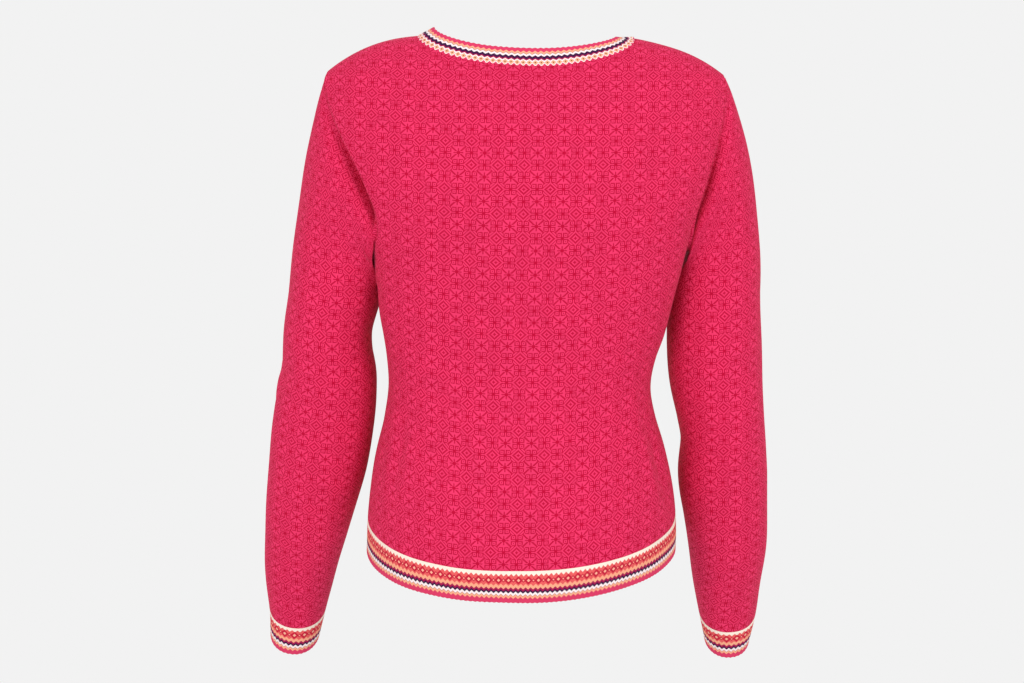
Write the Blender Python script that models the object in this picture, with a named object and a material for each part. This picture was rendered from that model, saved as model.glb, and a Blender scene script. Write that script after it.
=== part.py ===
"""A zip-up cardigan of fine jacquard knit, in metres, +Z up.

It stands open and filled, as it is worn: the origin lies between the two high
shoulder points, where the wearer's neck and shoulders carry it. The zip faces
-Y, the back faces +Y, and the wearer's left sleeve lies on +X.

Each piece that a maker cuts is one closed wall: back, two fronts, two sleeves,
two cuffs, hem band and neck band. They are cut from one smooth torso surface
and two sleeve surfaces, so the pieces meet along shared seams.
Sizes are in millimetres until a mesh is made.
"""

import math

import bmesh
import bpy
import numpy as np

MM = 0.001

# ---------------------------------------------------------------- sizes, mm
KNIT = 2.0  # wall of the knitted panels
BAND = 2.4  # wall of the ribbed bands
SEAM_GAP = 0.3  # between two pieces at a seam
PARTING = SEAM_GAP / 2  # each piece stops this far short of the seam line

SHOULDER_X = 198.0  # armhole seam at the shoulder, from the middle
SHOULDER_DROP = 40.0  # that point below the middle of the shoulder line
SHOULDER_RISE = 8.0
SHOULDER_CURVE = 4.0
SHOULDER_Y = -6.0  # the shoulder seam lies a little forward
SHOULDER_LEAN = 0.015  # the left shoulder stands a little higher
LEAN_Z = -160.0  # below this the torso stands level
NECK_X = 107.5  # half the neck's width at the shoulder seam
BACK_NECK_DROP = 28.0
FRONT_NECK_DROP = 92.0
NECK_CURVE = 0.6
SOFT = 60.0  # how gently what only the back does fades towards the front
CLOSING_Z = -150.0  # above this the torso closes over the shoulders
CLOSING_POWERS = (2.0, 0.55)

ARMPIT_Z = -205.0
BAND_TOP_Z = -476.0  # hem seam, at the side
HEM_Z = -513.0  # lower edge, at the side
NECK_BAND = 18.5  # width of the neck band
CUFF = 33.0  # height of a cuff

# Zip. Across is measured from its middle line, depth inwards from the panels'
# outer face, and along down from the neck band's upper edge.
ZIP_EDGE = 4.5  # a front's edge
TAPE_IN, TAPE_OUT = 1.2, 14.0  # a tape's two edges
TAPE_DEPTH, TAPE = 2.9, 1.0  # where the tape lies, and its wall
TAPE_SHORT = 1.5  # the tapes stop this far short of the bands' edges
CHAIN_HALF, CHAIN_DEPTH, CHAIN = 2.4, 0.9, 1.7  # the row of closed teeth
BOX_HALF, BOX_LONG, BOX_DEPTH = 3.9, 8.0, 0.3
STOP_IN, STOP_OUT, STOP_LONG = 0.6, 2.6, 2.6
STOP_ALONG = 2.2
SLIDER_ALONG, SLIDER_LONG, SLIDER_HALF = 5.6, 13.0, 3.9
PLATE = 1.1  # wall of the slider's front plate
BACK_PLATE = 1.0
POST_HALF, POST_LONG = 0.85, 2.3  # between the tapes' edges
LEG, LEG_REACH = 1.2, 4.2  # the bridge's legs, and how far they reach from its pin
PIN, PIN_LIFT = 1.2, 1.1  # the pull's cross bar, and its middle over the plate
BRIDGE_ROOM, BRIDGE = 1.15, 0.8  # under the bridge's bar, and the bar
PULL_HALF, PULL_EYE_HALF = 2.8, 1.25
PULL_EYE, PULL_LONG = 5.1, 24.0  # lower end of the eye and of the pull, from the pin

# Torso sections from the hem up; tilt is how a section's back falls.
TORSO_COLUMNS = ("z", "half_width", "widest_y", "back", "front", "power", "tilt")
TORSO = (
    (-530, 158, 2, 115, -99, 2.05, -0.26),
    (-510, 158, 2, 121, -103, 2.1, -0.27),
    (-476, 157, 2, 129, -106, 2.2, -0.27),
    (-440, 153, 2, 125, -104, 2.25, -0.19),
    (-405, 146, 3, 117, -101, 2.25, -0.11),
    (-374, 137, 5, 109, -98, 2.25, -0.05),
    (-345, 132, 8, 103, -96, 2.25, 0.0),
    (-312, 135, 14, 100, -100, 2.25, 0.0),
    (-290, 140, 20, 100, -107, 2.25, 0.0),
    (-265, 145, 25, 102, -117, 2.25, 0.0),
    (-235, 149, 28, 105, -127, 2.25, 0.0),
    (-205, 155, 26, 107, -132, 2.25, 0.0),
    (-175, 167, 18, 108, -130, 2.25, 0.0),
    (-145, 182, 9, 106, -123, 2.25, 0.0),
    (-115, 194, 1, 102, -113, 2.25, 0.0),
    (-80, 205, -4, 98, -103, 2.25, 0.0),
    (-40, 212, -6, 94, -96, 2.25, 0.0),
    (20, 212, -6, 92, -92, 2.25, 0.0),
)

# How the wearer stands: sway moves a section sideways, turn leans its back aside.
POSE_COLUMNS = ("z", "sway", "turn")
POSE = (
    (-530, -1, -0.07),
    (-476, -2, -0.06),
    (-405, 0, -0.03),
    (-345, 2.5, 0.0),
    (-312, 1, 0.0),
    (-290, -1, 0.01),
    (-265, -2, 0.02),
    (-235, -3.5, 0.04),
    (-205, -4, 0.06),
    (-175, -3, 0.08),
    (-145, -1, 0.10),
    (-80, -1, 0.09),
    (20, -2.5, 0.04),
)

# Armholes, seen from the side: how far they reach back and forward of the line
# from armpit to shoulder, and how much lower than halfway the reach is fullest.
ARMHOLE = {
    +1: {"back": 43.0, "front": 50.0, "low": 0.5},
    -1: {"back": 34.0, "front": 50.0, "low": 0.2},
}

# Sleeve sections below the armpit, each at right angles to the sleeve's own line.
SLEEVE_COLUMNS = ("z", "x", "y", "half_width", "half_depth")
SLEEVE = {
    +1: (
        (-250, 189.5, -14, 47, 54),
        (-290, 197, -14, 44.5, 54),
        (-311, 197.5, -14, 45, 53),
        (-334, 196.5, -14, 47.5, 51),
        (-355, 199, -15, 50, 49),
        (-420, 209, -22, 51, 45),
        (-500, 225, -42, 43.5, 41),
        (-575, 238.5, -70, 34, 37),
        (-610, 242.5, -84, 29, 35),
        (-640, 247, -98, 25.5, 32.5),
        (-670, 250, -114, 21.5, 31),
    ),
    -1: (
        (-250, 195.5, -14, 46, 54),
        (-290, 196, -14, 47.5, 54),
        (-334, 197.5, -14, 47.5, 51),
        (-376, 204, -16, 44.5, 48),
        (-397, 207, -19, 43.5, 46),
        (-440, 208, -27, 46, 44),
        (-482, 213, -37, 43.5, 42),
        (-525, 217, -50, 40.5, 40),
        (-575, 220, -70, 34.5, 37),
        (-610, 222, -84, 30, 35),
        (-640, 223.5, -98, 24.5, 32.5),
        (-670, 224.5, -114, 19, 30),
    ),
}
SLEEVE_END_Z = {+1: -602.0, -1: -607.0}
SLEEVE_POWER = 2.1

# Which way the sleeve's cloth leaves the armhole, at armpit, back, shoulder and
# front (out, back, up), and how far that direction holds as a share of the cap.
CAP_LEAVES = {
    +1: ((0.35, 0.0, -1.0), (0.60, 0.10, -0.90), (0.28, 0.0, -1.0), (0.60, -0.15, -0.90)),
    -1: ((0.35, 0.0, -1.0), (0.70, 0.10, -0.80), (0.45, 0.0, -1.0), (0.70, -0.15, -0.80)),
}
CAP_START, CAP_END = 0.9, 1.0

# How far the neck band leans in from upright, in degrees.
NECK_LEAN = {"back": 24.0, "left": 66.0, "right": 95.0, "front": 30.0}

# ------------------------------------------------------ how finely pieces are cut
BODY_ROWS = 12  # hem seam to armpit
ARMHOLE_ROWS = 11  # armpit to shoulder
NECK_COLUMNS = 7  # middle to the high shoulder point
SHOULDER_COLUMNS = 5
BAND_ROWS = 2
CAP_ROWS = 9
SLEEVE_ROWS = 14
FINE = 90  # steps used to measure a curve's length
FINE_TURN = 400  # steps used to find a point on a section

# An edge of a grid of points, and the line beside it.
EDGES = {
    "top": (np.s_[-1], np.s_[-2]),
    "bottom": (np.s_[0], np.s_[1]),
    "left": (np.s_[:, 0], np.s_[:, 1]),
    "right": (np.s_[:, -1], np.s_[:, -2]),
}

COLOURS = {
    "knit": ((0.80, 0.03, 0.10, 1.0), 0.85, 0.0),
    "band": ((0.86, 0.25, 0.27, 1.0), 0.85, 0.0),
    "tape": ((0.60, 0.03, 0.09, 1.0), 0.8, 0.0),
    "zip": ((0.62, 0.60, 0.56, 1.0), 0.35, 1.0),
}


# ------------------------------------------------------------------- curves
def column(table, names, name, at):
    """A table's column read at the heights at, on a smooth curve through its rows."""
    rows = np.array(sorted(table))
    z, value = rows[:, 0], rows[:, names.index(name)]
    slope = np.gradient(value, z)
    at = np.clip(np.asarray(at, float), z[0], z[-1])
    i = np.clip(np.searchsorted(z, at) - 1, 0, len(z) - 2)
    step = z[i + 1] - z[i]
    t = (at - z[i]) / step
    keep, lean = 2 * t**3 - 3 * t**2 + 1, t**3 - 2 * t**2 + t
    reach, fall = 3 * t**2 - 2 * t**3, t**3 - t**2
    return keep * value[i] + lean * step * slope[i] + reach * value[i + 1] + fall * step * slope[i + 1]


def torso(name, z):
    return column(TORSO, TORSO_COLUMNS, name, z)


def lengths(points):
    """Distance along a row of points, from 0."""
    steps = np.linalg.norm(np.diff(points, axis=0), axis=1)
    return np.concatenate([[0.0], np.cumsum(steps)])


def even(points, values, shares):
    """The values that belong to even shares of the length of a row of points."""
    along = lengths(points)
    return np.interp(np.asarray(shares) * along[-1], along, values)


def unit(vectors):
    return vectors / np.maximum(np.linalg.norm(vectors, axis=-1, keepdims=True), 1e-12)


# ------------------------------------------------------------ torso surface
def shoulder_z(x):
    """Height of the shoulder line over a point x across."""
    return SHOULDER_RISE - SHOULDER_DROP * (np.abs(x) / SHOULDER_X) ** SHOULDER_CURVE


def closing(x, z):
    """1 up to the shoulder blades, then falling to 0 at the shoulder line."""
    share = (z - CLOSING_Z) / (shoulder_z(x) - CLOSING_Z)
    power, root = CLOSING_POWERS
    return (1 - np.clip(share, 0, 1) ** power) ** root


def backward(y):
    """How far back a point lies, fading to nothing towards the front."""
    return (np.hypot(y, SOFT) + y) / 2


def pose(points):
    """The figure's slight sway, the turn of its back and the slope of its shoulders;
    the front stays straight."""
    moved = points.copy()
    x, y, z = points[..., 0], points[..., 1], points[..., 2]
    sway = column(POSE, POSE_COLUMNS, "sway", z)
    turn = column(POSE, POSE_COLUMNS, "turn", z)
    moved[..., 0] = x + sway - turn * backward(y)
    moved[..., 2] = z + SHOULDER_LEAN * x * np.clip(1 - z / LEAN_Z, 0, 1) ** 2
    return moved


def unposed_torso(half, side, phi, z):
    """Points of the torso: half is back or front, side +1 or -1, phi 0 at the
    middle and a quarter turn at the side seam."""
    phi, z = np.broadcast_arrays(np.asarray(phi, float), np.asarray(z, float))
    power = 2 / torso("power", z)
    widest = torso("widest_y", z)
    across = torso("half_width", z) * np.abs(np.sin(phi)) ** power
    depth = (torso(half, z) - widest) * np.abs(np.cos(phi)) ** power
    y = SHOULDER_Y + (widest - SHOULDER_Y + depth) * closing(across, z)
    fall = torso("tilt", z) * (backward(y - widest) - backward(0.0))
    return np.stack([side * across, y, z + fall], axis=-1)


def torso_points(half, side, phi, z):
    return pose(unposed_torso(half, side, phi, z))


def torso_normals(half, side, phi, z):
    """Outward normals of the torso surface."""
    turn, lift = 1e-3, 0.1
    phi = np.clip(phi, 2 * turn, math.pi / 2 - turn)
    around = torso_points(half, side, phi + turn, z) - torso_points(half, side, phi - turn, z)
    up = torso_points(half, side, phi, z) - torso_points(half, side, phi, np.asarray(z) - lift)
    normals = unit(np.cross(around, up))
    facing = 1 if half == "back" else -1
    return normals * np.where(normals[..., 1:2] * facing + normals[..., 0:1] * side < 0, -1, 1)


def phi_at(x, z):
    """The phi whose point is x across at height z."""
    share = np.clip(np.abs(x) / torso("half_width", z), 0, 1)
    return np.arcsin(share ** (torso("power", z) / 2))


# --------------------------------------------------------- cut lines (phi, z)
def armhole(half, side, shares):
    """(phi, z) along the armhole from armpit to shoulder, at even shares."""
    turn = np.linspace(0, math.pi, FINE)
    rise = (1 - np.cos(turn)) / 2
    top = shoulder_z(SHOULDER_X)
    z = ARMPIT_Z + (top - ARMPIT_Z) * rise
    reach = ARMHOLE[side][half] * (1 if half == "back" else -1)
    pit_y = torso("widest_y", ARMPIT_Z)
    swell = np.sin(turn) * (1 + ARMHOLE[side]["low"] * np.cos(turn))
    y = pit_y + (SHOULDER_Y - pit_y) * rise + reach * swell
    phi = np.empty(FINE)
    tried = np.linspace(0, math.pi / 2, FINE_TURN)
    tried = tried[::-1] if half == "back" else tried
    for i in range(FINE):
        ys = np.maximum.accumulate(unposed_torso(half, side, tried, z[i])[:, 1])
        phi[i] = np.interp(y[i], ys, tried)
    phi[0] = math.pi / 2
    phi[-1] = phi_at(SHOULDER_X, z[-1])
    line = torso_points(half, side, phi, z)
    return even(line, phi, shares), even(line, z, shares)


def top_line(half, side, columns, shares_per_column):
    """(phi, z) of a half panel's upper edge: neck, then shoulder seam."""
    drop = BACK_NECK_DROP if half == "back" else FRONT_NECK_DROP
    begin = ZIP_EDGE if half == "front" else 0.0
    neck_columns = NECK_COLUMNS * shares_per_column
    shoulder_columns = SHOULDER_COLUMNS * shares_per_column

    swing = np.linspace(math.asin(begin / NECK_X), math.pi / 2, FINE * 4)
    x = NECK_X * np.sin(swing)
    z = shoulder_z(NECK_X) - drop * np.cos(swing) ** (2 * NECK_CURVE)
    neck = torso_points(half, side, phi_at(x, z), z)
    neck_x = even(neck, x, np.linspace(0, 1, neck_columns + 1))
    neck_z = even(neck, z, np.linspace(0, 1, neck_columns + 1))

    seam_x = np.linspace(NECK_X, SHOULDER_X, FINE)
    seam = np.stack([seam_x, 0 * seam_x, shoulder_z(seam_x)], axis=-1)
    far = even(seam, seam_x, np.linspace(0, 1, shoulder_columns + 1))
    x = np.concatenate([neck_x, far[1:]])
    z = np.concatenate([neck_z, shoulder_z(far[1:])])
    return phi_at(x, z), z


def level_line(half, side, z, count):
    """phi of count + 1 points spread evenly from middle to side seam."""
    begin = float(phi_at(ZIP_EDGE, z)) if half == "front" else 0.0
    phi = np.linspace(begin, math.pi / 2, FINE * 2)
    line = unposed_torso(half, side, phi, np.full(phi.shape, z))
    return even(line, phi, np.linspace(0, 1, count + 1))


def half_panel(half, side, fine=1):
    """(phi, z) grid of half a panel, hem seam to shoulder and middle to side."""
    columns = (NECK_COLUMNS + SHOULDER_COLUMNS) * fine
    rows, upper_rows = BODY_ROWS * fine, ARMHOLE_ROWS * fine
    heights = np.linspace(BAND_TOP_Z, ARMPIT_Z, rows + 1)
    lower = np.array([level_line(half, side, z, columns) for z in heights])
    lower_z = np.repeat(heights[:, None], columns + 1, axis=1)

    u = np.linspace(0, 1, columns + 1)[None, :]
    t = np.linspace(0, 1, upper_rows + 1)[:, None]
    edge_phi, edge_z = armhole(half, side, t[:, 0])
    top_phi, top_z = top_line(half, side, columns, fine)
    middle_z = ARMPIT_Z + (top_z[0] - ARMPIT_Z) * t[:, 0]
    middle_phi = phi_at(ZIP_EDGE, middle_z) if half == "front" else 0 * middle_z

    def patch(bottom, top, middle, edge):
        """The grid whose four sides are these lines."""
        sides = (1 - u) * middle[:, None] + u * edge[:, None]
        ends = (1 - t) * bottom[None, :] + t * top[None, :]
        corners = (1 - t) * ((1 - u) * bottom[0] + u * bottom[-1]) + t * ((1 - u) * top[0] + u * top[-1])
        return sides + ends - corners

    upper = patch(lower[-1], top_phi, middle_phi, edge_phi)
    upper_z = patch(lower_z[-1], top_z, middle_z, edge_z)
    return np.vstack([lower, upper[1:]]), np.vstack([lower_z, upper_z[1:]])


# ------------------------------------------------------------------ sleeves
def superellipse(turn, power):
    """(cos, sin) of a slightly squared circle."""
    c, s = np.cos(turn), np.sin(turn)
    return np.sign(c) * np.abs(c) ** (2 / power), np.sign(s) * np.abs(s) ** (2 / power)


def sleeve_ring(side, z, turn):
    """A sleeve section whose middle is at height z: turn is 0 at the inner side,
    a quarter at the back and a half at the outer side."""
    def middle(height):
        x = column(SLEEVE[side], SLEEVE_COLUMNS, "x", height)
        y = column(SLEEVE[side], SLEEVE_COLUMNS, "y", height)
        return np.array([side * x, y, height], float)

    along = unit(middle(z - 8.0) - middle(z + 8.0))
    back = unit(np.array([0.0, 1.0, 0.0]) - along[1] * along)
    out = np.cross(along, back) * side
    out = out if out[0] * side > 0 else -out
    width = column(SLEEVE[side], SLEEVE_COLUMNS, "half_width", z)
    depth = column(SLEEVE[side], SLEEVE_COLUMNS, "half_depth", z)
    c, s = superellipse(turn, SLEEVE_POWER)
    return middle(z) - out * (width * c)[:, None] + back * (depth * s)[:, None], along


def armhole_loop(side, fine=1):
    """The armhole's points: armpit, back, shoulder, front, and their torso normals."""
    shares = np.linspace(0, 1, ARMHOLE_ROWS * fine + 1)
    phi, z = armhole("back", side, shares)
    back, back_n = torso_points("back", side, phi, z), torso_normals("back", side, phi, z)
    phi, z = armhole("front", side, shares)
    front, front_n = torso_points("front", side, phi, z), torso_normals("front", side, phi, z)
    loop = np.vstack([back, front[::-1][1:-1]])
    return loop, np.vstack([back_n, front_n[::-1][1:-1]])


def cap_direction(side, turn):
    """Which way the cloth leaves the armhole at that turn."""
    quarter = (turn / (math.pi / 2)) % 4
    i = np.floor(quarter).astype(int) % 4
    t = quarter - np.floor(quarter)
    t = (t * t * (3 - 2 * t))[:, None]
    ways = np.array(CAP_LEAVES[side])
    way = ways[i] * (1 - t) + ways[(i + 1) % 4] * t
    return unit(way * np.array([side, 1, 1]))


def sleeve_surface(side, fine=1):
    """Rows of rings from the armhole to the sleeve's end, closed around."""
    loop, _ = armhole_loop(side, fine)
    count = len(loop)
    turn = np.linspace(0, 2 * math.pi, count, endpoint=False)
    first_z = SLEEVE[side][0][0]
    ring, along = sleeve_ring(side, first_z, turn)
    reach = np.linalg.norm(ring - loop, axis=1)[:, None]
    start = cap_direction(side, turn) * reach * CAP_START
    end = along * reach * CAP_END
    rows = []
    for t in np.linspace(0, 1, CAP_ROWS * fine + 1):
        keep, lean = 2 * t**3 - 3 * t**2 + 1, t**3 - 2 * t**2 + t
        arrive, fall = 3 * t**2 - 2 * t**3, t**3 - t**2
        rows.append(keep * loop + lean * start + arrive * ring + fall * end)
    for z in np.linspace(first_z, SLEEVE_END_Z[side], SLEEVE_ROWS * fine + 1)[1:]:
        rows.append(sleeve_ring(side, z, turn)[0])
    return np.array(rows)


def cuff_surface(side, fine=1):
    """The cuff goes on from the sleeve's last ring."""
    count = 2 * ARMHOLE_ROWS * fine
    turn = np.linspace(0, 2 * math.pi, count, endpoint=False)
    lowest = SLEEVE_END_Z[side] - CUFF
    heights = np.linspace(SLEEVE_END_Z[side], lowest, BAND_ROWS * fine + 1)
    return np.array([sleeve_ring(side, z, turn)[0] for z in heights])


def grid_normals(grid, closed):
    """Normals of a grid of points by its neighbours."""
    down = np.gradient(grid, axis=0)
    if closed:
        around = np.roll(grid, -1, axis=1) - np.roll(grid, 1, axis=1)
    else:
        around = np.gradient(grid, axis=1)
    return unit(np.cross(around, down))


def facing(normals, grid, inside):
    """Turns the normals away from the points inside, one for each row."""
    away = np.sum(normals * (grid - inside[:, None, :]), axis=-1)
    return normals if np.median(away) > 0 else -normals


# ----------------------------------------------------------------- meshes
def make_material(name):
    colour, roughness, metallic = COLOURS[name]
    material = bpy.data.materials.new(name)
    material.use_nodes = True
    shader = material.node_tree.nodes["Principled BSDF"]
    shader.inputs["Base Color"].default_value = colour
    shader.inputs["Roughness"].default_value = roughness
    shader.inputs["Metallic"].default_value = metallic
    return material


def add_object(name, vertices, faces, material, smooth=True):
    mesh = bpy.data.meshes.new(name)
    mesh.from_pydata([tuple(v) for v in np.asarray(vertices) * MM], [], [tuple(map(int, f)) for f in faces])
    mesh.validate()
    work = bmesh.new()
    work.from_mesh(mesh)
    bmesh.ops.recalc_face_normals(work, faces=work.faces)
    work.to_mesh(mesh)
    work.free()
    if smooth:
        mesh.shade_smooth()
        mesh.set_sharp_from_angle(angle=math.radians(40))
    mesh.materials.append(bpy.data.materials[material])
    made = bpy.data.objects.new(name, mesh)
    bpy.context.scene.collection.objects.link(made)
    return made


def part_edge(grid, normals, edge, closed):
    """Draws one edge of a grid back by PARTING, square to the rim it will have."""
    place, beside = EDGES[edge]
    line = grid[place]
    if closed:
        along = np.roll(line, -1, axis=0) - np.roll(line, 1, axis=0)
    else:
        along = np.gradient(line, axis=0)
    away = unit(np.cross(along, normals[place]))
    own = np.sum(away * (grid[beside] - line), axis=1, keepdims=True)
    grid[place] = line + away * np.sign(own) * PARTING


def wall(name, outer, normals, thickness, closed, material, edges=()):
    """A closed wall: the outer grid, its inner copy thickness below, and rims."""
    outer = outer.copy()
    for edge in edges:
        part_edge(outer, normals, edge, closed)
    inner = outer - normals * thickness
    rows, columns = outer.shape[:2]
    vertices = np.concatenate([outer.reshape(-1, 3), inner.reshape(-1, 3)])
    index = np.arange(rows * columns).reshape(rows, columns)
    below = index + rows * columns
    last = columns if closed else columns - 1
    faces = []
    for c in range(last):
        n = (c + 1) % columns
        for r in range(rows - 1):
            faces.append((index[r, c], index[r, n], index[r + 1, n], index[r + 1, c]))
            faces.append((below[r, c], below[r + 1, c], below[r + 1, n], below[r, n]))
        faces.append((index[0, n], index[0, c], below[0, c], below[0, n]))
        faces.append((index[-1, c], index[-1, n], below[-1, n], below[-1, c]))
    if not closed:
        for r in range(rows - 1):
            faces.append((index[r, 0], index[r + 1, 0], below[r + 1, 0], below[r, 0]))
            faces.append((index[r + 1, -1], index[r, -1], below[r, -1], below[r + 1, -1]))
    return add_object(name, vertices, faces, material)


def clear_scene():
    for old in list(bpy.data.objects):
        bpy.data.objects.remove(old, do_unlink=True)


# ------------------------------------------------------------------ pieces
def torso_grid(half, side, fine=1):
    phi, z = half_panel(half, side, fine)
    return torso_points(half, side, phi, z), torso_normals(half, side, phi, z)


def sleeve_parts(side, fine=1):
    """Grids and normals of sleeve and cuff."""
    sleeve, cuff = sleeve_surface(side, fine), cuff_surface(side, fine)
    both = np.vstack([sleeve, cuff[1:]])
    normals = facing(grid_normals(both, True), both, both.mean(axis=1))
    _, torso_n = armhole_loop(side, fine)
    normals[0] = unit(normals[0] + torso_n)
    seam = len(sleeve) - 1
    return sleeve, normals[: seam + 1], cuff, normals[seam:]


def share_seams(back_n, front_n):
    """Gives back and front one normal along the side seam and the shoulder seam."""
    side, shoulder = np.s_[: BODY_ROWS + 1, -1], np.s_[-1, NECK_COLUMNS:]
    for seam in (side, shoulder):
        both = unit(back_n[seam] + front_n[seam])
        back_n[seam] = both
        front_n[seam] = both


def share_armhole(panel_normals, sleeve_normals, half):
    """Gives a half panel's armhole edge the normals that the sleeve has there."""
    rows = ARMHOLE_ROWS
    loop = sleeve_normals[0]
    count = 2 * rows
    places = range(rows + 1) if half == "back" else [(count - r) % count for r in range(rows + 1)]
    for row, place in zip(range(BODY_ROWS, BODY_ROWS + rows + 1), places):
        panel_normals[row, -1] = loop[place]


def neck_line(fine=1):
    """The neck seam from the left front edge, round the back, to the right one,
    with the torso's normals there."""
    points, normals = [], []
    for half, side, turned in (("front", 1, False), ("back", 1, True), ("back", -1, False), ("front", -1, True)):
        phi, z = top_line(half, side, None, fine)
        count = NECK_COLUMNS * fine + 1
        line = torso_points(half, side, phi[:count], z[:count])
        normal = torso_normals(half, side, phi[:count], z[:count])
        line, normal = (line[::-1], normal[::-1]) if turned else (line, normal)
        points.append(line if not points else line[1:])
        normals.append(normal if not normals else normal[1:])
    return np.vstack(points), np.vstack(normals)


def neck_lean(points):
    """The band's lean in from upright at each point of the neck seam, in radians."""
    back = np.clip(points[:, 1] / points[:, 1].max(), 0, 1)
    front = np.clip(points[:, 1] / points[:, 1].min(), 0, 1)
    shoulder = np.where(points[:, 0] > 0, NECK_LEAN["left"], NECK_LEAN["right"])
    lean = shoulder + (NECK_LEAN["back"] - shoulder) * back**0.8
    lean = lean + (NECK_LEAN["front"] - lean) * front**0.8
    return np.radians(lean)


def neck_band(fine=1):
    """Grid and normals of the neck band, from seam to upper edge."""
    line, torso_n = neck_line(fine)
    along = np.gradient(line, axis=0)
    along[[0, -1], 1:] = 0
    along = unit(along)
    inward = np.cross(along, np.array([0.0, 0.0, 1.0]))
    inward[:, 2] = 0
    inward = unit(inward)
    middle = np.array([line[:, 0].mean(), line[:, 1].mean(), 0])
    inward *= np.sign(np.sum(inward * (middle - line), axis=1))[:, None]
    lean = neck_lean(line)[:, None]
    rise = unit(np.cross(inward, along))
    rise *= np.sign(rise[:, 2:3])
    way = inward * np.sin(lean) + rise * np.cos(lean)
    shares = np.linspace(0, 1, BAND_ROWS * fine + 1)
    grid = line[None] + way[None] * (shares * NECK_BAND)[:, None, None]
    normals = unit(np.cross(along, way))
    normals *= np.sign(np.sum(normals * -inward, axis=1))[:, None]
    normals = np.repeat(normals[None], len(shares), axis=0)
    normals[0] = unit(normals[0] + torso_n)
    return grid, normals


def hem_band(fine=1):
    """Grid and normals of the hem band, from lower edge to hem seam, from the left
    front edge round the back to the right one."""
    heights = np.linspace(HEM_Z, BAND_TOP_Z, BAND_ROWS * fine + 1)
    columns = (NECK_COLUMNS + SHOULDER_COLUMNS) * fine
    points, normals = [], []
    for half, side, turned in (("front", 1, False), ("back", 1, True), ("back", -1, False), ("front", -1, True)):
        phi = np.array([level_line(half, side, z, columns) for z in heights])
        z = np.repeat(heights[:, None], columns + 1, axis=1)
        part, normal = torso_points(half, side, phi, z), torso_normals(half, side, phi, z)
        if turned:
            part, normal = part[:, ::-1], normal[:, ::-1]
        points.append(part if not points else part[:, 1:])
        normals.append(normal if not normals else normal[:, 1:])
    return np.hstack(points), np.hstack(normals)


def build_cloth():
    """All cloth pieces. Returns the zip's line, worked out from the front edges."""
    sleeves = {}
    for side, name in ((1, "left"), (-1, "right")):
        sleeve, sleeve_n, cuff, cuff_n = sleeve_parts(side)
        sleeves[side] = sleeve_n
        wall(f"sleeve_{name}", sleeve, sleeve_n, KNIT, True, "knit", ("top", "bottom"))
        wall(f"cuff_{name}", cuff, cuff_n, BAND, True, "band", ("bottom",))

    neck, neck_n = neck_band()
    wall("neck_band", neck, neck_n, BAND, False, "band", ("bottom",))
    hem, hem_n = hem_band()
    wall("hem_band", hem, hem_n, BAND, False, "band", ("top",))

    halves = {}
    for half in ("back", "front"):
        for side in (1, -1):
            halves[half, side] = torso_grid(half, side)
    for side in (1, -1):
        share_seams(halves["back", side][1], halves["front", side][1])
        for half in ("back", "front"):
            share_armhole(halves[half, side][1], sleeves[side], half)
    share_neck(halves, neck_n)

    left, left_n = halves["back", 1]
    right, right_n = halves["back", -1]
    back = np.hstack([right[:, ::-1], left[:, 1:]])
    back_n = np.hstack([right_n[:, ::-1], left_n[:, 1:]])
    wall("back", back, back_n, KNIT, False, "knit", ("top", "bottom", "left", "right"))
    for side, name in ((1, "left"), (-1, "right")):
        grid, normals = halves["front", side]
        wall(f"front_{name}", grid, normals, KNIT, False, "knit", ("top", "bottom", "right"))
    edges = []
    for side, place in ((1, 0), (-1, -1)):
        grid, normals = halves["front", side]
        points = np.vstack([hem[:, place], grid[1:, 0], neck[1:, place]])
        outward = np.vstack([hem_n[:, place], normals[1:, 0], neck_n[1:, place]])
        edges.append((points, outward))
    return zip_line(*edges)


def share_neck(halves, neck_n):
    """Gives the panels' neck edges the normals that the neck band has there."""
    seam = neck_n[0]
    n = NECK_COLUMNS
    halves["front", 1][1][-1, : n + 1] = seam[: n + 1]
    halves["back", 1][1][-1, : n + 1] = seam[n : 2 * n + 1][::-1]
    halves["back", -1][1][-1, : n + 1] = seam[2 * n : 3 * n + 1]
    halves["front", -1][1][-1, : n + 1] = seam[3 * n : 4 * n + 1][::-1]


# --------------------------------------------------------------------- zip
def zip_line(left, right):
    """Middle points from hem to neck with the directions across, in and up."""
    middle = (left[0] + right[0]) / 2
    across = unit(left[0] - right[0])
    inward = -(left[1] + right[1])
    inward = unit(inward - np.sum(inward * across, axis=1, keepdims=True) * across)
    return middle, across, inward


def cut_line(line, start, end):
    """The zip's line without start at the hem and end at the neck."""
    middle = line[0]
    along = lengths(middle)
    at = np.concatenate([[start], along[(along > start + 1) & (along < along[-1] - end - 1)], [along[-1] - end]])
    return [np.stack([np.interp(at, along, part[:, i]) for i in range(3)], axis=1) for part in line]


def strip(name, line, inner, outer, depth, thickness, material):
    """A strip along the zip between two distances from its middle."""
    middle, across, inward = line
    cuts = np.linspace(inner, outer, 3)
    grid = middle[:, None] + across[:, None] * cuts[None, :, None] + inward[:, None] * depth
    normals = np.repeat(-inward[:, None], len(cuts), axis=1)
    return wall(name, grid, normals, thickness, False, material)


class Frame:
    """Straight axes at the upper end of the zip: across, along (down) and inward."""

    def __init__(self, line, row, beside):
        middle, across, inward = line
        self.origin = middle[row]
        self.across = unit(across[row])
        self.along = unit(middle[beside] - middle[row])
        self.inward = np.cross(self.along, self.across)
        self.inward *= np.sign(self.inward @ inward[row])

    def point(self, across, along, inward):
        return self.origin + self.across * across + self.along * along + self.inward * inward


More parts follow.
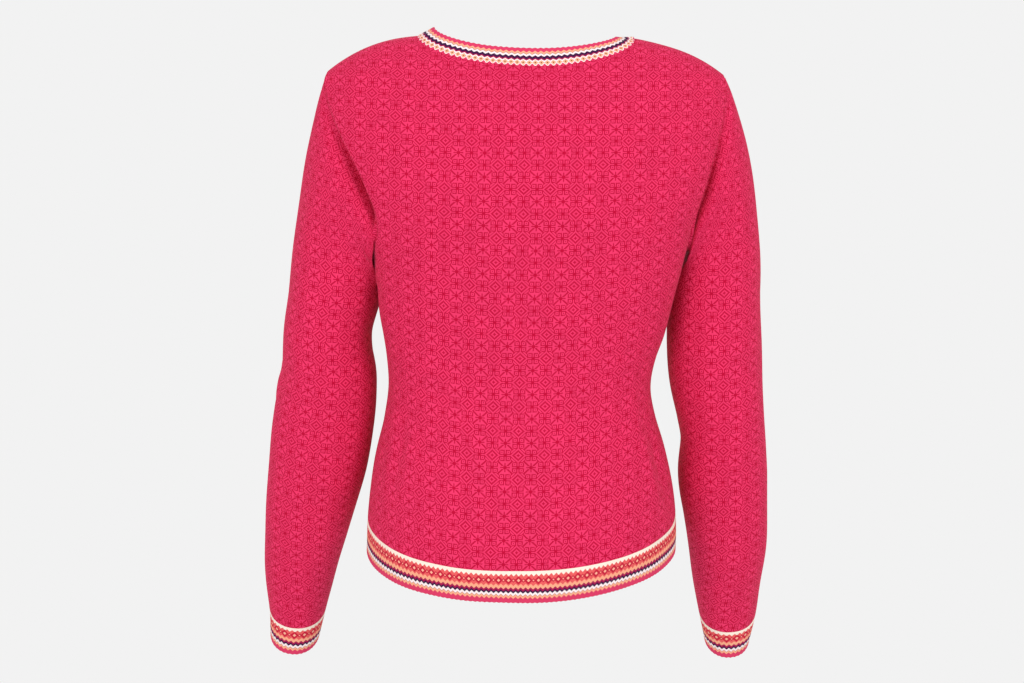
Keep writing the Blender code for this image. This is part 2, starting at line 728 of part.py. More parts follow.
def blocks(name, frame, cuts, filled, material, centre=None):
    """A solid of square blocks: three rows of cuts, and which blocks are filled."""
    size = [len(cut) - 1 for cut in cuts]
    corner = {}
    vertices, faces = [], []

    def vertex(key):
        if key not in corner:
            corner[key] = len(vertices)
            vertices.append(frame.point(*[cuts[axis][key[axis]] for axis in range(3)]))
        return corner[key]

    def is_filled(cell):
        inside = all(0 <= cell[axis] < size[axis] for axis in range(3))
        return inside and filled(*cell)

    for cell in np.ndindex(*size):
        if not is_filled(cell):
            continue
        for axis in range(3):
            for step in (0, 1):
                beside = list(cell)
                beside[axis] += 2 * step - 1
                if is_filled(beside):
                    continue
                first, second = [a for a in range(3) if a != axis]
                face = []
                for a, b in ((0, 0), (1, 0), (1, 1), (0, 1)):
                    key = list(cell)
                    key[axis] += step
                    key[first] += a
                    key[second] += b
                    face.append(vertex(tuple(key)))
                faces.append(face)
    vertices = np.array(vertices)
    if centre is not None:
        vertices = vertices - centre
    made = add_object(name, vertices, faces, material, smooth=False)
    if centre is not None:
        made.location = centre * MM
    return made


def solid_block(*cell):
    return True


def build_zip(line):
    """Tapes, closed teeth, bottom box, stops, slider and pull."""
    tape_line = cut_line(line, TAPE_SHORT, TAPE_SHORT)
    for side, name in ((1, "left"), (-1, "right")):
        strip(f"zip_tape_{name}", tape_line, side * TAPE_IN, side * TAPE_OUT, TAPE_DEPTH, TAPE, "tape")

    foot = Frame(line, 0, 1)
    box_end = TAPE_SHORT + BOX_LONG
    box_cuts = ((-BOX_HALF, BOX_HALF), (TAPE_SHORT, box_end), (BOX_DEPTH, CHAIN_DEPTH + CHAIN))
    blocks("zip_box", foot, box_cuts, solid_block, "zip")

    pin_along = SLIDER_ALONG + SLIDER_LONG / 2
    chain_top = SLIDER_ALONG + POST_LONG + SEAM_GAP
    chain_line = cut_line(line, box_end + SEAM_GAP, chain_top)
    strip("zip_chain", chain_line, -CHAIN_HALF, CHAIN_HALF, CHAIN_DEPTH, CHAIN, "zip")

    head = Frame(line, -1, -2)
    for side, name in ((1, "left"), (-1, "right")):
        across = sorted((side * STOP_IN, side * STOP_OUT))
        along = (STOP_ALONG, STOP_ALONG + STOP_LONG)
        blocks(f"zip_stop_{name}", head, (across, along, (CHAIN_DEPTH, CHAIN_DEPTH + CHAIN)), solid_block, "zip")

    plate = CHAIN_DEPTH - SEAM_GAP - PLATE
    pin_depth = plate - PIN_LIFT
    bar = pin_depth - BRIDGE_ROOM
    behind = TAPE_DEPTH + TAPE + SEAM_GAP
    legs = (pin_along - LEG_REACH, pin_along - LEG_REACH + LEG, pin_along + LEG_REACH - LEG, pin_along + LEG_REACH)
    across = (-SLIDER_HALF, -POST_HALF, POST_HALF, SLIDER_HALF)
    along = (SLIDER_ALONG, *legs, SLIDER_ALONG + SLIDER_LONG)
    depth = (bar - BRIDGE, bar, plate, CHAIN_DEPTH - SEAM_GAP, behind, behind + BACK_PLATE)

    def slider_block(i, j, k):
        """Bridge bar, legs, front plate, post and back plate, from the outside in."""
        middle = i == 1
        return (middle and 1 <= j <= 3, middle and j in (1, 3), True, middle and j == 0, True)[k]

    blocks("zip_slider", head, (across, along, depth), slider_block, "zip")

    across = (-PULL_HALF, -PULL_EYE_HALF, PULL_EYE_HALF, PULL_HALF)
    along = (pin_along - PIN / 2, pin_along + PIN / 2, pin_along + PULL_EYE, pin_along + PULL_LONG)
    depth = (pin_depth - PIN / 2, pin_depth + PIN / 2)
    pin = head.point(0, pin_along, pin_depth)
    blocks("zip_pull", head, (across, along, depth), lambda i, j, k: (i, j) != (1, 1), "zip", centre=pin)


def main():
    clear_scene()
    for name in COLOURS:
        make_material(name)
    build_zip(build_cloth())


main()
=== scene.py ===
"""Looks of a zip-up cardigan of fine jacquard knit, seen from the back.

The cloth shells are cut from the same torso and sleeve surfaces as the solids,
on finer grids, so each lies where its solid lies. Every point carries how far it
is along the cloth's courses and wales, and the jacquard is worked stitch by
stitch on that. Sizes are in millimetres until a mesh is made.
"""

import math

import bmesh
import bpy
import numpy as np
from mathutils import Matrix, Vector


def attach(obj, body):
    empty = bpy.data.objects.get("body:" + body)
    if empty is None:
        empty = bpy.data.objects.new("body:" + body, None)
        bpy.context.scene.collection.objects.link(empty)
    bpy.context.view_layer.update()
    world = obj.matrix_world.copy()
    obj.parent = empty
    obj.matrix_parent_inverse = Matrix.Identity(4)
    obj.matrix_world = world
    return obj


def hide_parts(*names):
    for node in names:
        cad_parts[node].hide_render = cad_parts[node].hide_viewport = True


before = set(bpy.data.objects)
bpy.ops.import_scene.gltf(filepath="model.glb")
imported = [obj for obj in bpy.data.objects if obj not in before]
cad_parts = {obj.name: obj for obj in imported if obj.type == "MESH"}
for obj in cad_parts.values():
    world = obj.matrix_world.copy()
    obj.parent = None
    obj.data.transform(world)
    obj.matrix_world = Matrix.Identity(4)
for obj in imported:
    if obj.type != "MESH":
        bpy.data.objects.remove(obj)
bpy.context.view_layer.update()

MM = 0.001
SIDES = ((1, "left"), (-1, "right"))

# ---------------------------------------------------------------- sizes, mm
SEAM_GAP = 0.3  # between two pieces at a seam

SHOULDER_X = 198.0  # armhole seam at the shoulder, from the middle
SHOULDER_DROP = 40.0  # that point below the middle of the shoulder line
SHOULDER_RISE = 8.0
SHOULDER_CURVE = 4.0
SHOULDER_Y = -6.0  # the shoulder seam lies a little forward
SHOULDER_LEAN = 0.015  # the left shoulder stands a little higher
LEAN_Z = -160.0  # below this the torso stands level
NECK_X = 107.5  # half the neck's width at the shoulder seam
BACK_NECK_DROP = 28.0
FRONT_NECK_DROP = 92.0
NECK_CURVE = 0.6
SOFT = 60.0  # how gently what only the back does fades towards the front
CLOSING_Z = -150.0  # above this the torso closes over the shoulders
CLOSING_POWERS = (2.0, 0.55)

ARMPIT_Z = -205.0
BAND_TOP_Z = -476.0  # hem seam, at the side
HEM_Z = -513.0  # lower edge, at the side
NECK_BAND = 18.5  # width of the neck band
CUFF = 33.0  # height of a cuff

# Zip. Across is measured from its middle line, depth inwards from the panels'
# outer face, and along down from the neck band's upper edge.
ZIP_EDGE = 4.5  # a front's edge
TAPE_IN, TAPE_OUT = 1.2, 14.0  # a tape's two edges
TAPE_DEPTH, TAPE = 2.9, 1.0  # where the tape lies, and its wall
TAPE_SHORT = 1.5  # the tapes stop this far short of the bands' edges
CHAIN_DEPTH, CHAIN = 0.9, 1.7  # the row of closed teeth
BOX_HALF, BOX_LONG, BOX_DEPTH = 3.9, 8.0, 0.3
STOP_IN, STOP_OUT, STOP_LONG = 0.6, 2.6, 2.6
STOP_ALONG = 2.2
SLIDER_ALONG, SLIDER_LONG, SLIDER_HALF = 5.6, 13.0, 3.9
PLATE = 1.1  # wall of the slider's front plate
BACK_PLATE = 1.0
POST_HALF, POST_LONG = 0.85, 2.3  # between the tapes' edges
LEG, LEG_REACH = 1.2, 4.2  # the bridge's legs, and how far they reach from its pin
PIN, PIN_LIFT = 1.2, 1.1  # the pull's cross bar, and its middle over the plate
BRIDGE_ROOM, BRIDGE = 1.15, 0.8  # under the bridge's bar, and the bar
PULL_HALF, PULL_EYE_HALF = 2.8, 1.25
PULL_EYE, PULL_LONG = 5.1, 24.0  # lower end of the eye and of the pull, from the pin

# Torso sections from the hem up; tilt is how a section's back falls.
TORSO_COLUMNS = ("z", "half_width", "widest_y", "back", "front", "power", "tilt")
TORSO = (
    (-530, 158, 2, 115, -99, 2.05, -0.26),
    (-510, 158, 2, 121, -103, 2.1, -0.27),
    (-476, 157, 2, 129, -106, 2.2, -0.27),
    (-440, 153, 2, 125, -104, 2.25, -0.19),
    (-405, 146, 3, 117, -101, 2.25, -0.11),
    (-374, 137, 5, 109, -98, 2.25, -0.05),
    (-345, 132, 8, 103, -96, 2.25, 0.0),
    (-312, 135, 14, 100, -100, 2.25, 0.0),
    (-290, 140, 20, 100, -107, 2.25, 0.0),
    (-265, 145, 25, 102, -117, 2.25, 0.0),
    (-235, 149, 28, 105, -127, 2.25, 0.0),
    (-205, 155, 26, 107, -132, 2.25, 0.0),
    (-175, 167, 18, 108, -130, 2.25, 0.0),
    (-145, 182, 9, 106, -123, 2.25, 0.0),
    (-115, 194, 1, 102, -113, 2.25, 0.0),
    (-80, 205, -4, 98, -103, 2.25, 0.0),
    (-40, 212, -6, 94, -96, 2.25, 0.0),
    (20, 212, -6, 92, -92, 2.25, 0.0),
)

# How the wearer stands: sway moves a section sideways, turn leans its back aside.
POSE_COLUMNS = ("z", "sway", "turn")
POSE = (
    (-530, -1, -0.07),
    (-476, -2, -0.06),
    (-405, 0, -0.03),
    (-345, 2.5, 0.0),
    (-312, 1, 0.0),
    (-290, -1, 0.01),
    (-265, -2, 0.02),
    (-235, -3.5, 0.04),
    (-205, -4, 0.06),
    (-175, -3, 0.08),
    (-145, -1, 0.10),
    (-80, -1, 0.09),
    (20, -2.5, 0.04),
)

# Armholes, seen from the side: how far they reach back and forward of the line
# from armpit to shoulder, and how much lower than halfway the reach is fullest.
ARMHOLE = {
    +1: {"back": 43.0, "front": 50.0, "low": 0.5},
    -1: {"back": 34.0, "front": 50.0, "low": 0.2},
}

# Sleeve sections below the armpit, each at right angles to the sleeve's own line.
SLEEVE_COLUMNS = ("z", "x", "y", "half_width", "half_depth")
SLEEVE = {
    +1: (
        (-250, 189.5, -14, 47, 54),
        (-290, 197, -14, 44.5, 54),
        (-311, 197.5, -14, 45, 53),
        (-334, 196.5, -14, 47.5, 51),
        (-355, 199, -15, 50, 49),
        (-420, 209, -22, 51, 45),
        (-500, 225, -42, 43.5, 41),
        (-575, 238.5, -70, 34, 37),
        (-610, 242.5, -84, 29, 35),
        (-640, 247, -98, 25.5, 32.5),
        (-670, 250, -114, 21.5, 31),
    ),
    -1: (
        (-250, 195.5, -14, 46, 54),
        (-290, 196, -14, 47.5, 54),
        (-334, 197.5, -14, 47.5, 51),
        (-376, 204, -16, 44.5, 48),
        (-397, 207, -19, 43.5, 46),
        (-440, 208, -27, 46, 44),
        (-482, 213, -37, 43.5, 42),
        (-525, 217, -50, 40.5, 40),
        (-575, 220, -70, 34.5, 37),
        (-610, 222, -84, 30, 35),
        (-640, 223.5, -98, 24.5, 32.5),
        (-670, 224.5, -114, 19, 30),
    ),
}
SLEEVE_END_Z = {+1: -602.0, -1: -607.0}  # where a cuff is sewn on
SLEEVE_POWER = 2.1
SECTION_STEP = 8.0  # to either side, for the way a sleeve runs at a section

# Which way the sleeve's cloth leaves the armhole, at armpit, back, shoulder and
# front (out, back, up), and how far that direction holds as a share of the cap.
CAP_LEAVES = {
    +1: ((0.35, 0.0, -1.0), (0.60, 0.10, -0.90), (0.28, 0.0, -1.0), (0.60, -0.15, -0.90)),
    -1: ((0.35, 0.0, -1.0), (0.70, 0.10, -0.80), (0.45, 0.0, -1.0), (0.70, -0.15, -0.80)),
}
CAP_START, CAP_END = 0.9, 1.0

# How far the neck band leans in from upright, in degrees, and how that fades.
LEAN_FADE = 0.8
NECK_LEAN = {"back": 24.0, "left": 66.0, "right": 95.0, "front": 30.0}

# ------------------------------------------------------ how finely pieces are cut
BODY_ROWS = 12  # hem seam to armpit
ARMHOLE_ROWS = 11  # armpit to shoulder
NECK_COLUMNS = 7  # middle to the high shoulder point
SHOULDER_COLUMNS = 5
BAND_ROWS = 2
CAP_ROWS = 9
SLEEVE_ROWS = 14
FINE = 90  # steps used to measure a curve's length
FINE_TURN = 400  # steps used to find a point on a section

# The half panels in their order round the neck and the hem: half, side, and
# whether it runs from the side seam to the middle.
ROUND = (("front", 1, False), ("back", 1, True), ("back", -1, False), ("front", -1, True))

# The rows at the ends of a grid of points, and those beside them.
END_ROWS = {"top": (-1, -2), "bottom": (0, 1)}


# ------------------------------------------------------------------- curves
def smooth_steps(t):
    """Shares of a curve's start, start slope, end and end slope, t from 0 to 1."""
    return 2 * t**3 - 3 * t**2 + 1, t**3 - 2 * t**2 + t, 3 * t**2 - 2 * t**3, t**3 - t**2


def column(table, names, name, at):
    """A table's column read at the heights at, on a smooth curve through its rows."""
    rows = np.array(sorted(table))
    z, value = rows[:, 0], rows[:, names.index(name)]
    slope = np.gradient(value, z)
    at = np.clip(np.asarray(at, float), z[0], z[-1])
    i = np.clip(np.searchsorted(z, at) - 1, 0, len(z) - 2)
    step = z[i + 1] - z[i]
    keep, lean, reach, fall = smooth_steps((at - z[i]) / step)
    return keep * value[i] + lean * step * slope[i] + reach * value[i + 1] + fall * step * slope[i + 1]


def torso(name, z):
    return column(TORSO, TORSO_COLUMNS, name, z)


def lengths(points, axis=0):
    """Distance along a row of points, or along each line of a grid, from 0."""
    steps = np.linalg.norm(np.diff(points, axis=axis), axis=-1)
    begin = np.zeros_like(np.take(steps, [0], axis=axis))
    return np.concatenate([begin, np.cumsum(steps, axis=axis)], axis=axis)


def even(points, values, shares):
    """The values that belong to even shares of the length of a row of points."""
    along = lengths(points)
    return np.interp(np.asarray(shares) * along[-1], along, values)


def read_along(at, along, points):
    """A row of points, or directions, read at the distances at."""
    return np.stack([np.interp(at, along, part) for part in points.T], axis=-1)


def unit(vectors):
    return vectors / np.maximum(np.linalg.norm(vectors, axis=-1, keepdims=True), 1e-12)


def turns(count):
    """Angles spread evenly once round."""
    return np.linspace(0, 2 * math.pi, count, endpoint=False)


# ------------------------------------------------------------ torso surface
def shoulder_z(x):
    """Height of the shoulder line over a point x across."""
    return SHOULDER_RISE - SHOULDER_DROP * (np.abs(x) / SHOULDER_X) ** SHOULDER_CURVE


def closing_share(x, z):
    """0 up to the shoulder blades, then rising to 1 at the shoulder line."""
    return np.clip((z - CLOSING_Z) / (shoulder_z(x) - CLOSING_Z), 0, 1)


def closing(x, z):
    """1 up to the shoulder blades, then falling to 0 at the shoulder line."""
    power, root = CLOSING_POWERS
    return (1 - closing_share(x, z) ** power) ** root


def backward(y):
    """How far back a point lies, fading to nothing towards the front."""
    return (np.hypot(y, SOFT) + y) / 2


def pose(points):
    """The figure's slight sway, the turn of its back and the slope of its shoulders;
    the front stays straight."""
    moved = points.copy()
    x, y, z = points[..., 0], points[..., 1], points[..., 2]
    sway = column(POSE, POSE_COLUMNS, "sway", z)
    turn = column(POSE, POSE_COLUMNS, "turn", z)
    moved[..., 0] = x + sway - turn * backward(y)
    moved[..., 2] = z + SHOULDER_LEAN * x * np.clip(1 - z / LEAN_Z, 0, 1) ** 2
    return moved


def torso_across(phi, z):
    """How far a point lies from the middle plane."""
    return torso("half_width", z) * np.abs(np.sin(phi)) ** (2 / torso("power", z))


def torso_depth(half, phi, z):
    """How far behind or before the widest line a point lies, below the shoulders."""
    return (torso(half, z) - torso("widest_y", z)) * np.abs(np.cos(phi)) ** (2 / torso("power", z))


def unposed_torso(half, side, phi, z):
    """Points of the torso: half is back or front, side +1 or -1, phi 0 at the
    middle and a quarter turn at the side seam."""
    phi, z = np.broadcast_arrays(np.asarray(phi, float), np.asarray(z, float))
    across, widest = torso_across(phi, z), torso("widest_y", z)
    y = SHOULDER_Y + (widest - SHOULDER_Y + torso_depth(half, phi, z)) * closing(across, z)
    fall = torso("tilt", z) * (backward(y - widest) - backward(0.0))
    return np.stack([side * across, y, z + fall], axis=-1)


def torso_points(half, side, phi, z):
    return pose(unposed_torso(half, side, phi, z))


def torso_normals(half, side, phi, z):
    """Outward normals of the torso surface."""
    turn, lift = 1e-3, 0.1
    phi = np.clip(phi, 2 * turn, math.pi / 2 - turn)
    around = torso_points(half, side, phi + turn, z) - torso_points(half, side, phi - turn, z)
    up = torso_points(half, side, phi, z) - torso_points(half, side, phi, np.asarray(z) - lift)
    normals = unit(np.cross(around, up))
    facing = 1 if half == "back" else -1
    return normals * np.where(normals[..., 1:2] * facing + normals[..., 0:1] * side < 0, -1, 1)


def torso_grid(half, side, phi, z):
    """Points of the torso and their outward normals."""
    return torso_points(half, side, phi, z), torso_normals(half, side, phi, z)


def phi_at(x, z):
    """The phi whose point is x across at height z."""
    share = np.clip(np.abs(x) / torso("half_width", z), 0, 1)
    return np.arcsin(share ** (torso("power", z) / 2))


# --------------------------------------------------------- cut lines (phi, z)
def armhole(half, side, shares):
    """(phi, z) along the armhole from armpit to shoulder, at even shares."""
    turn = np.linspace(0, math.pi, FINE)
    rise = (1 - np.cos(turn)) / 2
    top = shoulder_z(SHOULDER_X)
    z = ARMPIT_Z + (top - ARMPIT_Z) * rise
    reach = ARMHOLE[side][half] * (1 if half == "back" else -1)
    pit_y = torso("widest_y", ARMPIT_Z)
    swell = np.sin(turn) * (1 + ARMHOLE[side]["low"] * np.cos(turn))
    y = pit_y + (SHOULDER_Y - pit_y) * rise + reach * swell
    phi = np.empty(FINE)
    tried = np.linspace(0, math.pi / 2, FINE_TURN)
    tried = tried[::-1] if half == "back" else tried
    for i in range(FINE):
        ys = np.maximum.accumulate(unposed_torso(half, side, tried, z[i])[:, 1])
        phi[i] = np.interp(y[i], ys, tried)
    phi[0] = math.pi / 2
    phi[-1] = phi_at(SHOULDER_X, z[-1])
    line = torso_points(half, side, phi, z)
    return even(line, phi, shares), even(line, z, shares)


def top_line(half, side, fine):
    """(phi, z) of a half panel's upper edge: neck, then shoulder seam."""
    drop = BACK_NECK_DROP if half == "back" else FRONT_NECK_DROP
    begin = ZIP_EDGE if half == "front" else 0.0
    neck_shares = np.linspace(0, 1, NECK_COLUMNS * fine + 1)

    swing = np.linspace(math.asin(begin / NECK_X), math.pi / 2, FINE * 4)
    x = NECK_X * np.sin(swing)
    z = shoulder_z(NECK_X) - drop * np.cos(swing) ** (2 * NECK_CURVE)
    neck = torso_points(half, side, phi_at(x, z), z)
    neck_x, neck_z = even(neck, x, neck_shares), even(neck, z, neck_shares)

    seam_x = np.linspace(NECK_X, SHOULDER_X, FINE)
    seam = np.stack([seam_x, 0 * seam_x, shoulder_z(seam_x)], axis=-1)
    far = even(seam, seam_x, np.linspace(0, 1, SHOULDER_COLUMNS * fine + 1))
    x = np.concatenate([neck_x, far[1:]])
    z = np.concatenate([neck_z, shoulder_z(far[1:])])
    return phi_at(x, z), z


def level_line(half, side, z, count):
    """phi of count + 1 points spread evenly from middle to side seam."""
    begin = float(phi_at(ZIP_EDGE, z)) if half == "front" else 0.0
    phi = np.linspace(begin, math.pi / 2, FINE * 2)
    line = unposed_torso(half, side, phi, np.full(phi.shape, z))
    return even(line, phi, np.linspace(0, 1, count + 1))


def half_panel(half, side, fine):
    """(phi, z) grid of half a panel, hem seam to shoulder and middle to side."""
    columns = (NECK_COLUMNS + SHOULDER_COLUMNS) * fine
    rows, upper_rows = BODY_ROWS * fine, ARMHOLE_ROWS * fine
    heights = np.linspace(BAND_TOP_Z, ARMPIT_Z, rows + 1)
    lower = np.array([level_line(half, side, z, columns) for z in heights])
    lower_z = np.repeat(heights[:, None], columns + 1, axis=1)

    u = np.linspace(0, 1, columns + 1)[None, :]
    t = np.linspace(0, 1, upper_rows + 1)[:, None]
    edge_phi, edge_z = armhole(half, side, t[:, 0])
    top_phi, top_z = top_line(half, side, fine)
    middle_z = ARMPIT_Z + (top_z[0] - ARMPIT_Z) * t[:, 0]
    middle_phi = phi_at(ZIP_EDGE, middle_z) if half == "front" else 0 * middle_z

    def patch(bottom, top, middle, edge):
        """The grid whose four sides are these lines."""
        sides = (1 - u) * middle[:, None] + u * edge[:, None]
        ends = (1 - t) * bottom[None, :] + t * top[None, :]
        corners = (1 - t) * ((1 - u) * bottom[0] + u * bottom[-1]) + t * ((1 - u) * top[0] + u * top[-1])
        return sides + ends - corners

    upper = patch(lower[-1], top_phi, middle_phi, edge_phi)
    upper_z = patch(lower_z[-1], top_z, middle_z, edge_z)
    return np.vstack([lower, upper[1:]]), np.vstack([lower_z, upper_z[1:]])


# ------------------------------------------------------------------ sleeves
def superellipse(turn, power):
    """(cos, sin) of a slightly squared circle."""
    c, s = np.cos(turn), np.sin(turn)
    return np.sign(c) * np.abs(c) ** (2 / power), np.sign(s) * np.abs(s) ** (2 / power)


def sleeve_ring(side, z, turn):
    """A sleeve section whose middle is at height z: turn is 0 at the inner side,
    a quarter at the back and a half at the outer side."""
    def read(name, height):
        return column(SLEEVE[side], SLEEVE_COLUMNS, name, height)

    def middle(height):
        return np.array([side * read("x", height), read("y", height), height], float)

    along = unit(middle(z - SECTION_STEP) - middle(z + SECTION_STEP))
    back = unit(np.array([0.0, 1.0, 0.0]) - along[1] * along)
    out = np.cross(along, back) * side
    out = out if out[0] * side > 0 else -out
    c, s = superellipse(turn, SLEEVE_POWER)
    across, behind = read("half_width", z) * c, read("half_depth", z) * s
    return middle(z) - out * across[:, None] + back * behind[:, None], along


def armhole_loop(side, fine):
    """The armhole's points: armpit, back, shoulder, front, and their torso normals."""
    shares = np.linspace(0, 1, ARMHOLE_ROWS * fine + 1)
    back, front = (torso_grid(half, side, *armhole(half, side, shares)) for half in ("back", "front"))
    return [np.vstack([first, then[-2:0:-1]]) for first, then in zip(back, front)]


def cap_direction(side, turn):
    """Which way the cloth leaves the armhole at that turn."""
    quarter = (turn / (math.pi / 2)) % 4
    i = np.floor(quarter).astype(int) % 4
    t = quarter - np.floor(quarter)
    t = (t * t * (3 - 2 * t))[:, None]
    ways = np.array(CAP_LEAVES[side])
    way = ways[i] * (1 - t) + ways[(i + 1) % 4] * t
    return unit(way * np.array([side, 1, 1]))


def sleeve_surface(side, fine):
    """Rows of rings from the armhole to the sleeve's end, closed around."""
    loop, _ = armhole_loop(side, fine)
    turn = turns(len(loop))
    first_z = SLEEVE[side][0][0]
    ring, along = sleeve_ring(side, first_z, turn)
    span = np.linalg.norm(ring - loop, axis=1)[:, None]
    start = cap_direction(side, turn) * span * CAP_START
    end = along * span * CAP_END
    rows = []
    for t in np.linspace(0, 1, CAP_ROWS * fine + 1):
        keep, lean, reach, fall = smooth_steps(t)
        rows.append(keep * loop + lean * start + reach * ring + fall * end)
    for z in np.linspace(first_z, SLEEVE_END_Z[side], SLEEVE_ROWS * fine + 1)[1:]:
        rows.append(sleeve_ring(side, z, turn)[0])
    return np.array(rows)


def cuff_surface(side, fine):
    """The cuff goes on from the sleeve's last ring."""
    turn = turns(2 * ARMHOLE_ROWS * fine)
    seam = SLEEVE_END_Z[side]
    heights = np.linspace(seam, seam - CUFF, BAND_ROWS * fine + 1)
    return np.array([sleeve_ring(side, z, turn)[0] for z in heights])


def tube_normals(grid):
    """Outward normals of rings of points, by each point's neighbours."""
    around = np.roll(grid, -1, axis=1) - np.roll(grid, 1, axis=1)
    normals = unit(np.cross(around, np.gradient(grid, axis=0)))
    away = np.sum(normals * (grid - grid.mean(axis=1)[:, None, :]), axis=-1)
    return normals if np.median(away) > 0 else -normals


# ------------------------------------------------------------------ pieces
def sleeve_parts(side, fine):
    """Grids and normals of sleeve and cuff."""
    sleeve, cuff = sleeve_surface(side, fine), cuff_surface(side, fine)
    normals = tube_normals(np.vstack([sleeve, cuff[1:]]))
    _, torso_n = armhole_loop(side, fine)
    normals[0] = unit(normals[0] + torso_n)
    seam = len(sleeve) - 1
    return sleeve, normals[: seam + 1], cuff, normals[seam:]


def all_round(part_of, axis):
    """Points and normals of all half panels in one row or grid, from the left front
    edge round the back to the right one; part_of gives those of one half panel."""
    kept = []
    for half, side, turned in ROUND:
        both = part_of(half, side)
        both = [np.flip(part, axis) for part in both] if turned else both
        kept.append([np.delete(part, 0, axis) for part in both] if kept else both)
    return [np.concatenate(both, axis=axis) for both in zip(*kept)]


def neck_line(fine):
    """The neck seam, with the torso's normals there."""
    def seam(half, side):
        phi, z = (row[: NECK_COLUMNS * fine + 1] for row in top_line(half, side, fine))
        return torso_grid(half, side, phi, z)

    return all_round(seam, 0)


def neck_lean(points):
    """The band's lean in from upright at each point of the neck seam, in radians."""
    back = np.clip(points[:, 1] / points[:, 1].max(), 0, 1)
    front = np.clip(points[:, 1] / points[:, 1].min(), 0, 1)
    shoulder = np.where(points[:, 0] > 0, NECK_LEAN["left"], NECK_LEAN["right"])
    lean = shoulder + (NECK_LEAN["back"] - shoulder) * back**LEAN_FADE
    lean = lean + (NECK_LEAN["front"] - lean) * front**LEAN_FADE
    return np.radians(lean)


def neck_band(fine):
    """Grid and normals of the neck band, from seam to upper edge."""
    line, torso_n = neck_line(fine)
    along = np.gradient(line, axis=0)
    along[[0, -1], 1:] = 0
    along = unit(along)
    inward = np.cross(along, np.array([0.0, 0.0, 1.0]))
    inward[:, 2] = 0
    inward = unit(inward)
    middle = np.array([line[:, 0].mean(), line[:, 1].mean(), 0])
    inward *= np.sign(np.sum(inward * (middle - line), axis=1))[:, None]
    lean = neck_lean(line)[:, None]
    rise = unit(np.cross(inward, along))
    rise *= np.sign(rise[:, 2:3])
    way = inward * np.sin(lean) + rise * np.cos(lean)
    shares = np.linspace(0, 1, BAND_ROWS * fine + 1)
    grid = line[None] + way[None] * (shares * NECK_BAND)[:, None, None]
    normals = unit(np.cross(along, way))
    normals *= np.sign(np.sum(normals * -inward, axis=1))[:, None]
    normals = np.repeat(normals[None], len(shares), axis=0)
    normals[0] = unit(normals[0] + torso_n)
    return grid, normals


def hem_band(fine):
    """Grid and normals of the hem band, from lower edge to hem seam."""
    heights = np.linspace(HEM_Z, BAND_TOP_Z, BAND_ROWS * fine + 1)
    columns = (NECK_COLUMNS + SHOULDER_COLUMNS) * fine

    def band(half, side):
        phi = np.array([level_line(half, side, z, columns) for z in heights])
        return torso_grid(half, side, phi, heights[:, None])

    return all_round(band, 1)


def zip_line(left, right):
    """Middle points from hem to neck with the directions across, in and up."""
    middle = (left[0] + right[0]) / 2
    across = unit(left[0] - right[0])
    inward = -(left[1] + right[1])
    inward = unit(inward - np.sum(inward * across, axis=1, keepdims=True) * across)
    return middle, across, inward


def cut_line(line, start, end):
    """The zip's line without start at the hem and end at the neck."""
    along = lengths(line[0])
    last = along[-1] - end
    at = np.concatenate([[start], along[(along > start + 1) & (along < last - 1)], [last]])
    return [read_along(at, along, part) for part in line]


class Frame:
    """Straight axes at a row of the zip's line: across, along to the row beside, and in."""

    def __init__(self, line, row, beside):
        middle, across, inward = (part[row] for part in line)
        across, along = unit(across), unit(line[0][beside] - middle)
        into = np.cross(along, across)
        self.origin = middle
        self.axes = np.array([across, along, into * np.sign(into @ inward)])

    def place(self, vertices):
        return self.origin + vertices @ self.axes


# ------------------------------------------------------- how the scene is cut
PANEL_FINE, BAND_FINE = 6, 14
KNIT_WALL, BAND_WALL, TAPE_WALL = 1.6, 2.1, 0.7
EDGE_CUTS = (0.1, 0.3, 0.6, 1.0, 1.6, 2.4, 3.4, 4.6)  # extra rows beside an edge, by distance
CUT_CLEAR = 0.06  # of a cell: a new row nearer than this to an old one is left out
SEAM_DIP, SEAM_WIDE = {"seam": 0.5, "sewn": 1.7}, 1.25  # how far a seam sinks, and how wide
SEAM_PLAY = 0.6  # how much less than that the inner side sinks
EDGE_ROUND = 0.9  # how much of a half circle an open edge is rounded by
SCALLOP, SCALLOP_REACH = 0.5, 5.0  # waves of a band's knitted edge
PHI_STEPS, HEIGHT_STEPS = 181, 240  # of the tables that measure a half's cloth
TABLE_BELOW, TABLE_TOP_Z = 60, 20  # where they begin below the hem seam, and end

# Flat cuts, metres: width, length, and the cut's own area.
NECK_FLAT = (0.64, 0.0185, 0.0116)
HEM_FLAT = (0.92, 0.040, 0.034)

STITCH = (1.042, 0.971)  # across and up
REPEAT = 24  # stitches, both ways
FIGURE_UP = 5.3  # how far below a cloth's lower end the figure begins
# A quarter of the repeat, from the middle of a diamond out (x) and up (y),
# mirrored on both sides. "#" is the darker pink.
CHART = (
    "##..##.....##",
    "#..##..######",
    "..##..##...#.",
    ".##..#.#.#.#.",
    "##..#..#...#.",
    "#..#..#.####.",
    "..#..##......",
    ".####.##.....",
    ".#...#.##...#",
    ".#.#.#..##..#",
    ".#...#...##.#",
    "######.....##",
    "##......#####",
)
ZIGZAG = 5.2  # period of the bands' zigzags
CLOTH_SHINE = 0.12
PATCHES, FIBRES = 55.0, 1400.0  # of uneven dye and of single fibres, to a metre
HEM_CLOSER, NECK_CLOSER = 1.09, 0.91  # how much closer together a band's wales stand
# The back's middle wale hangs straight while the figure sways: its x by height.
STRAIGHT_X, STRAIGHT_LEAN = -4.6, -0.021

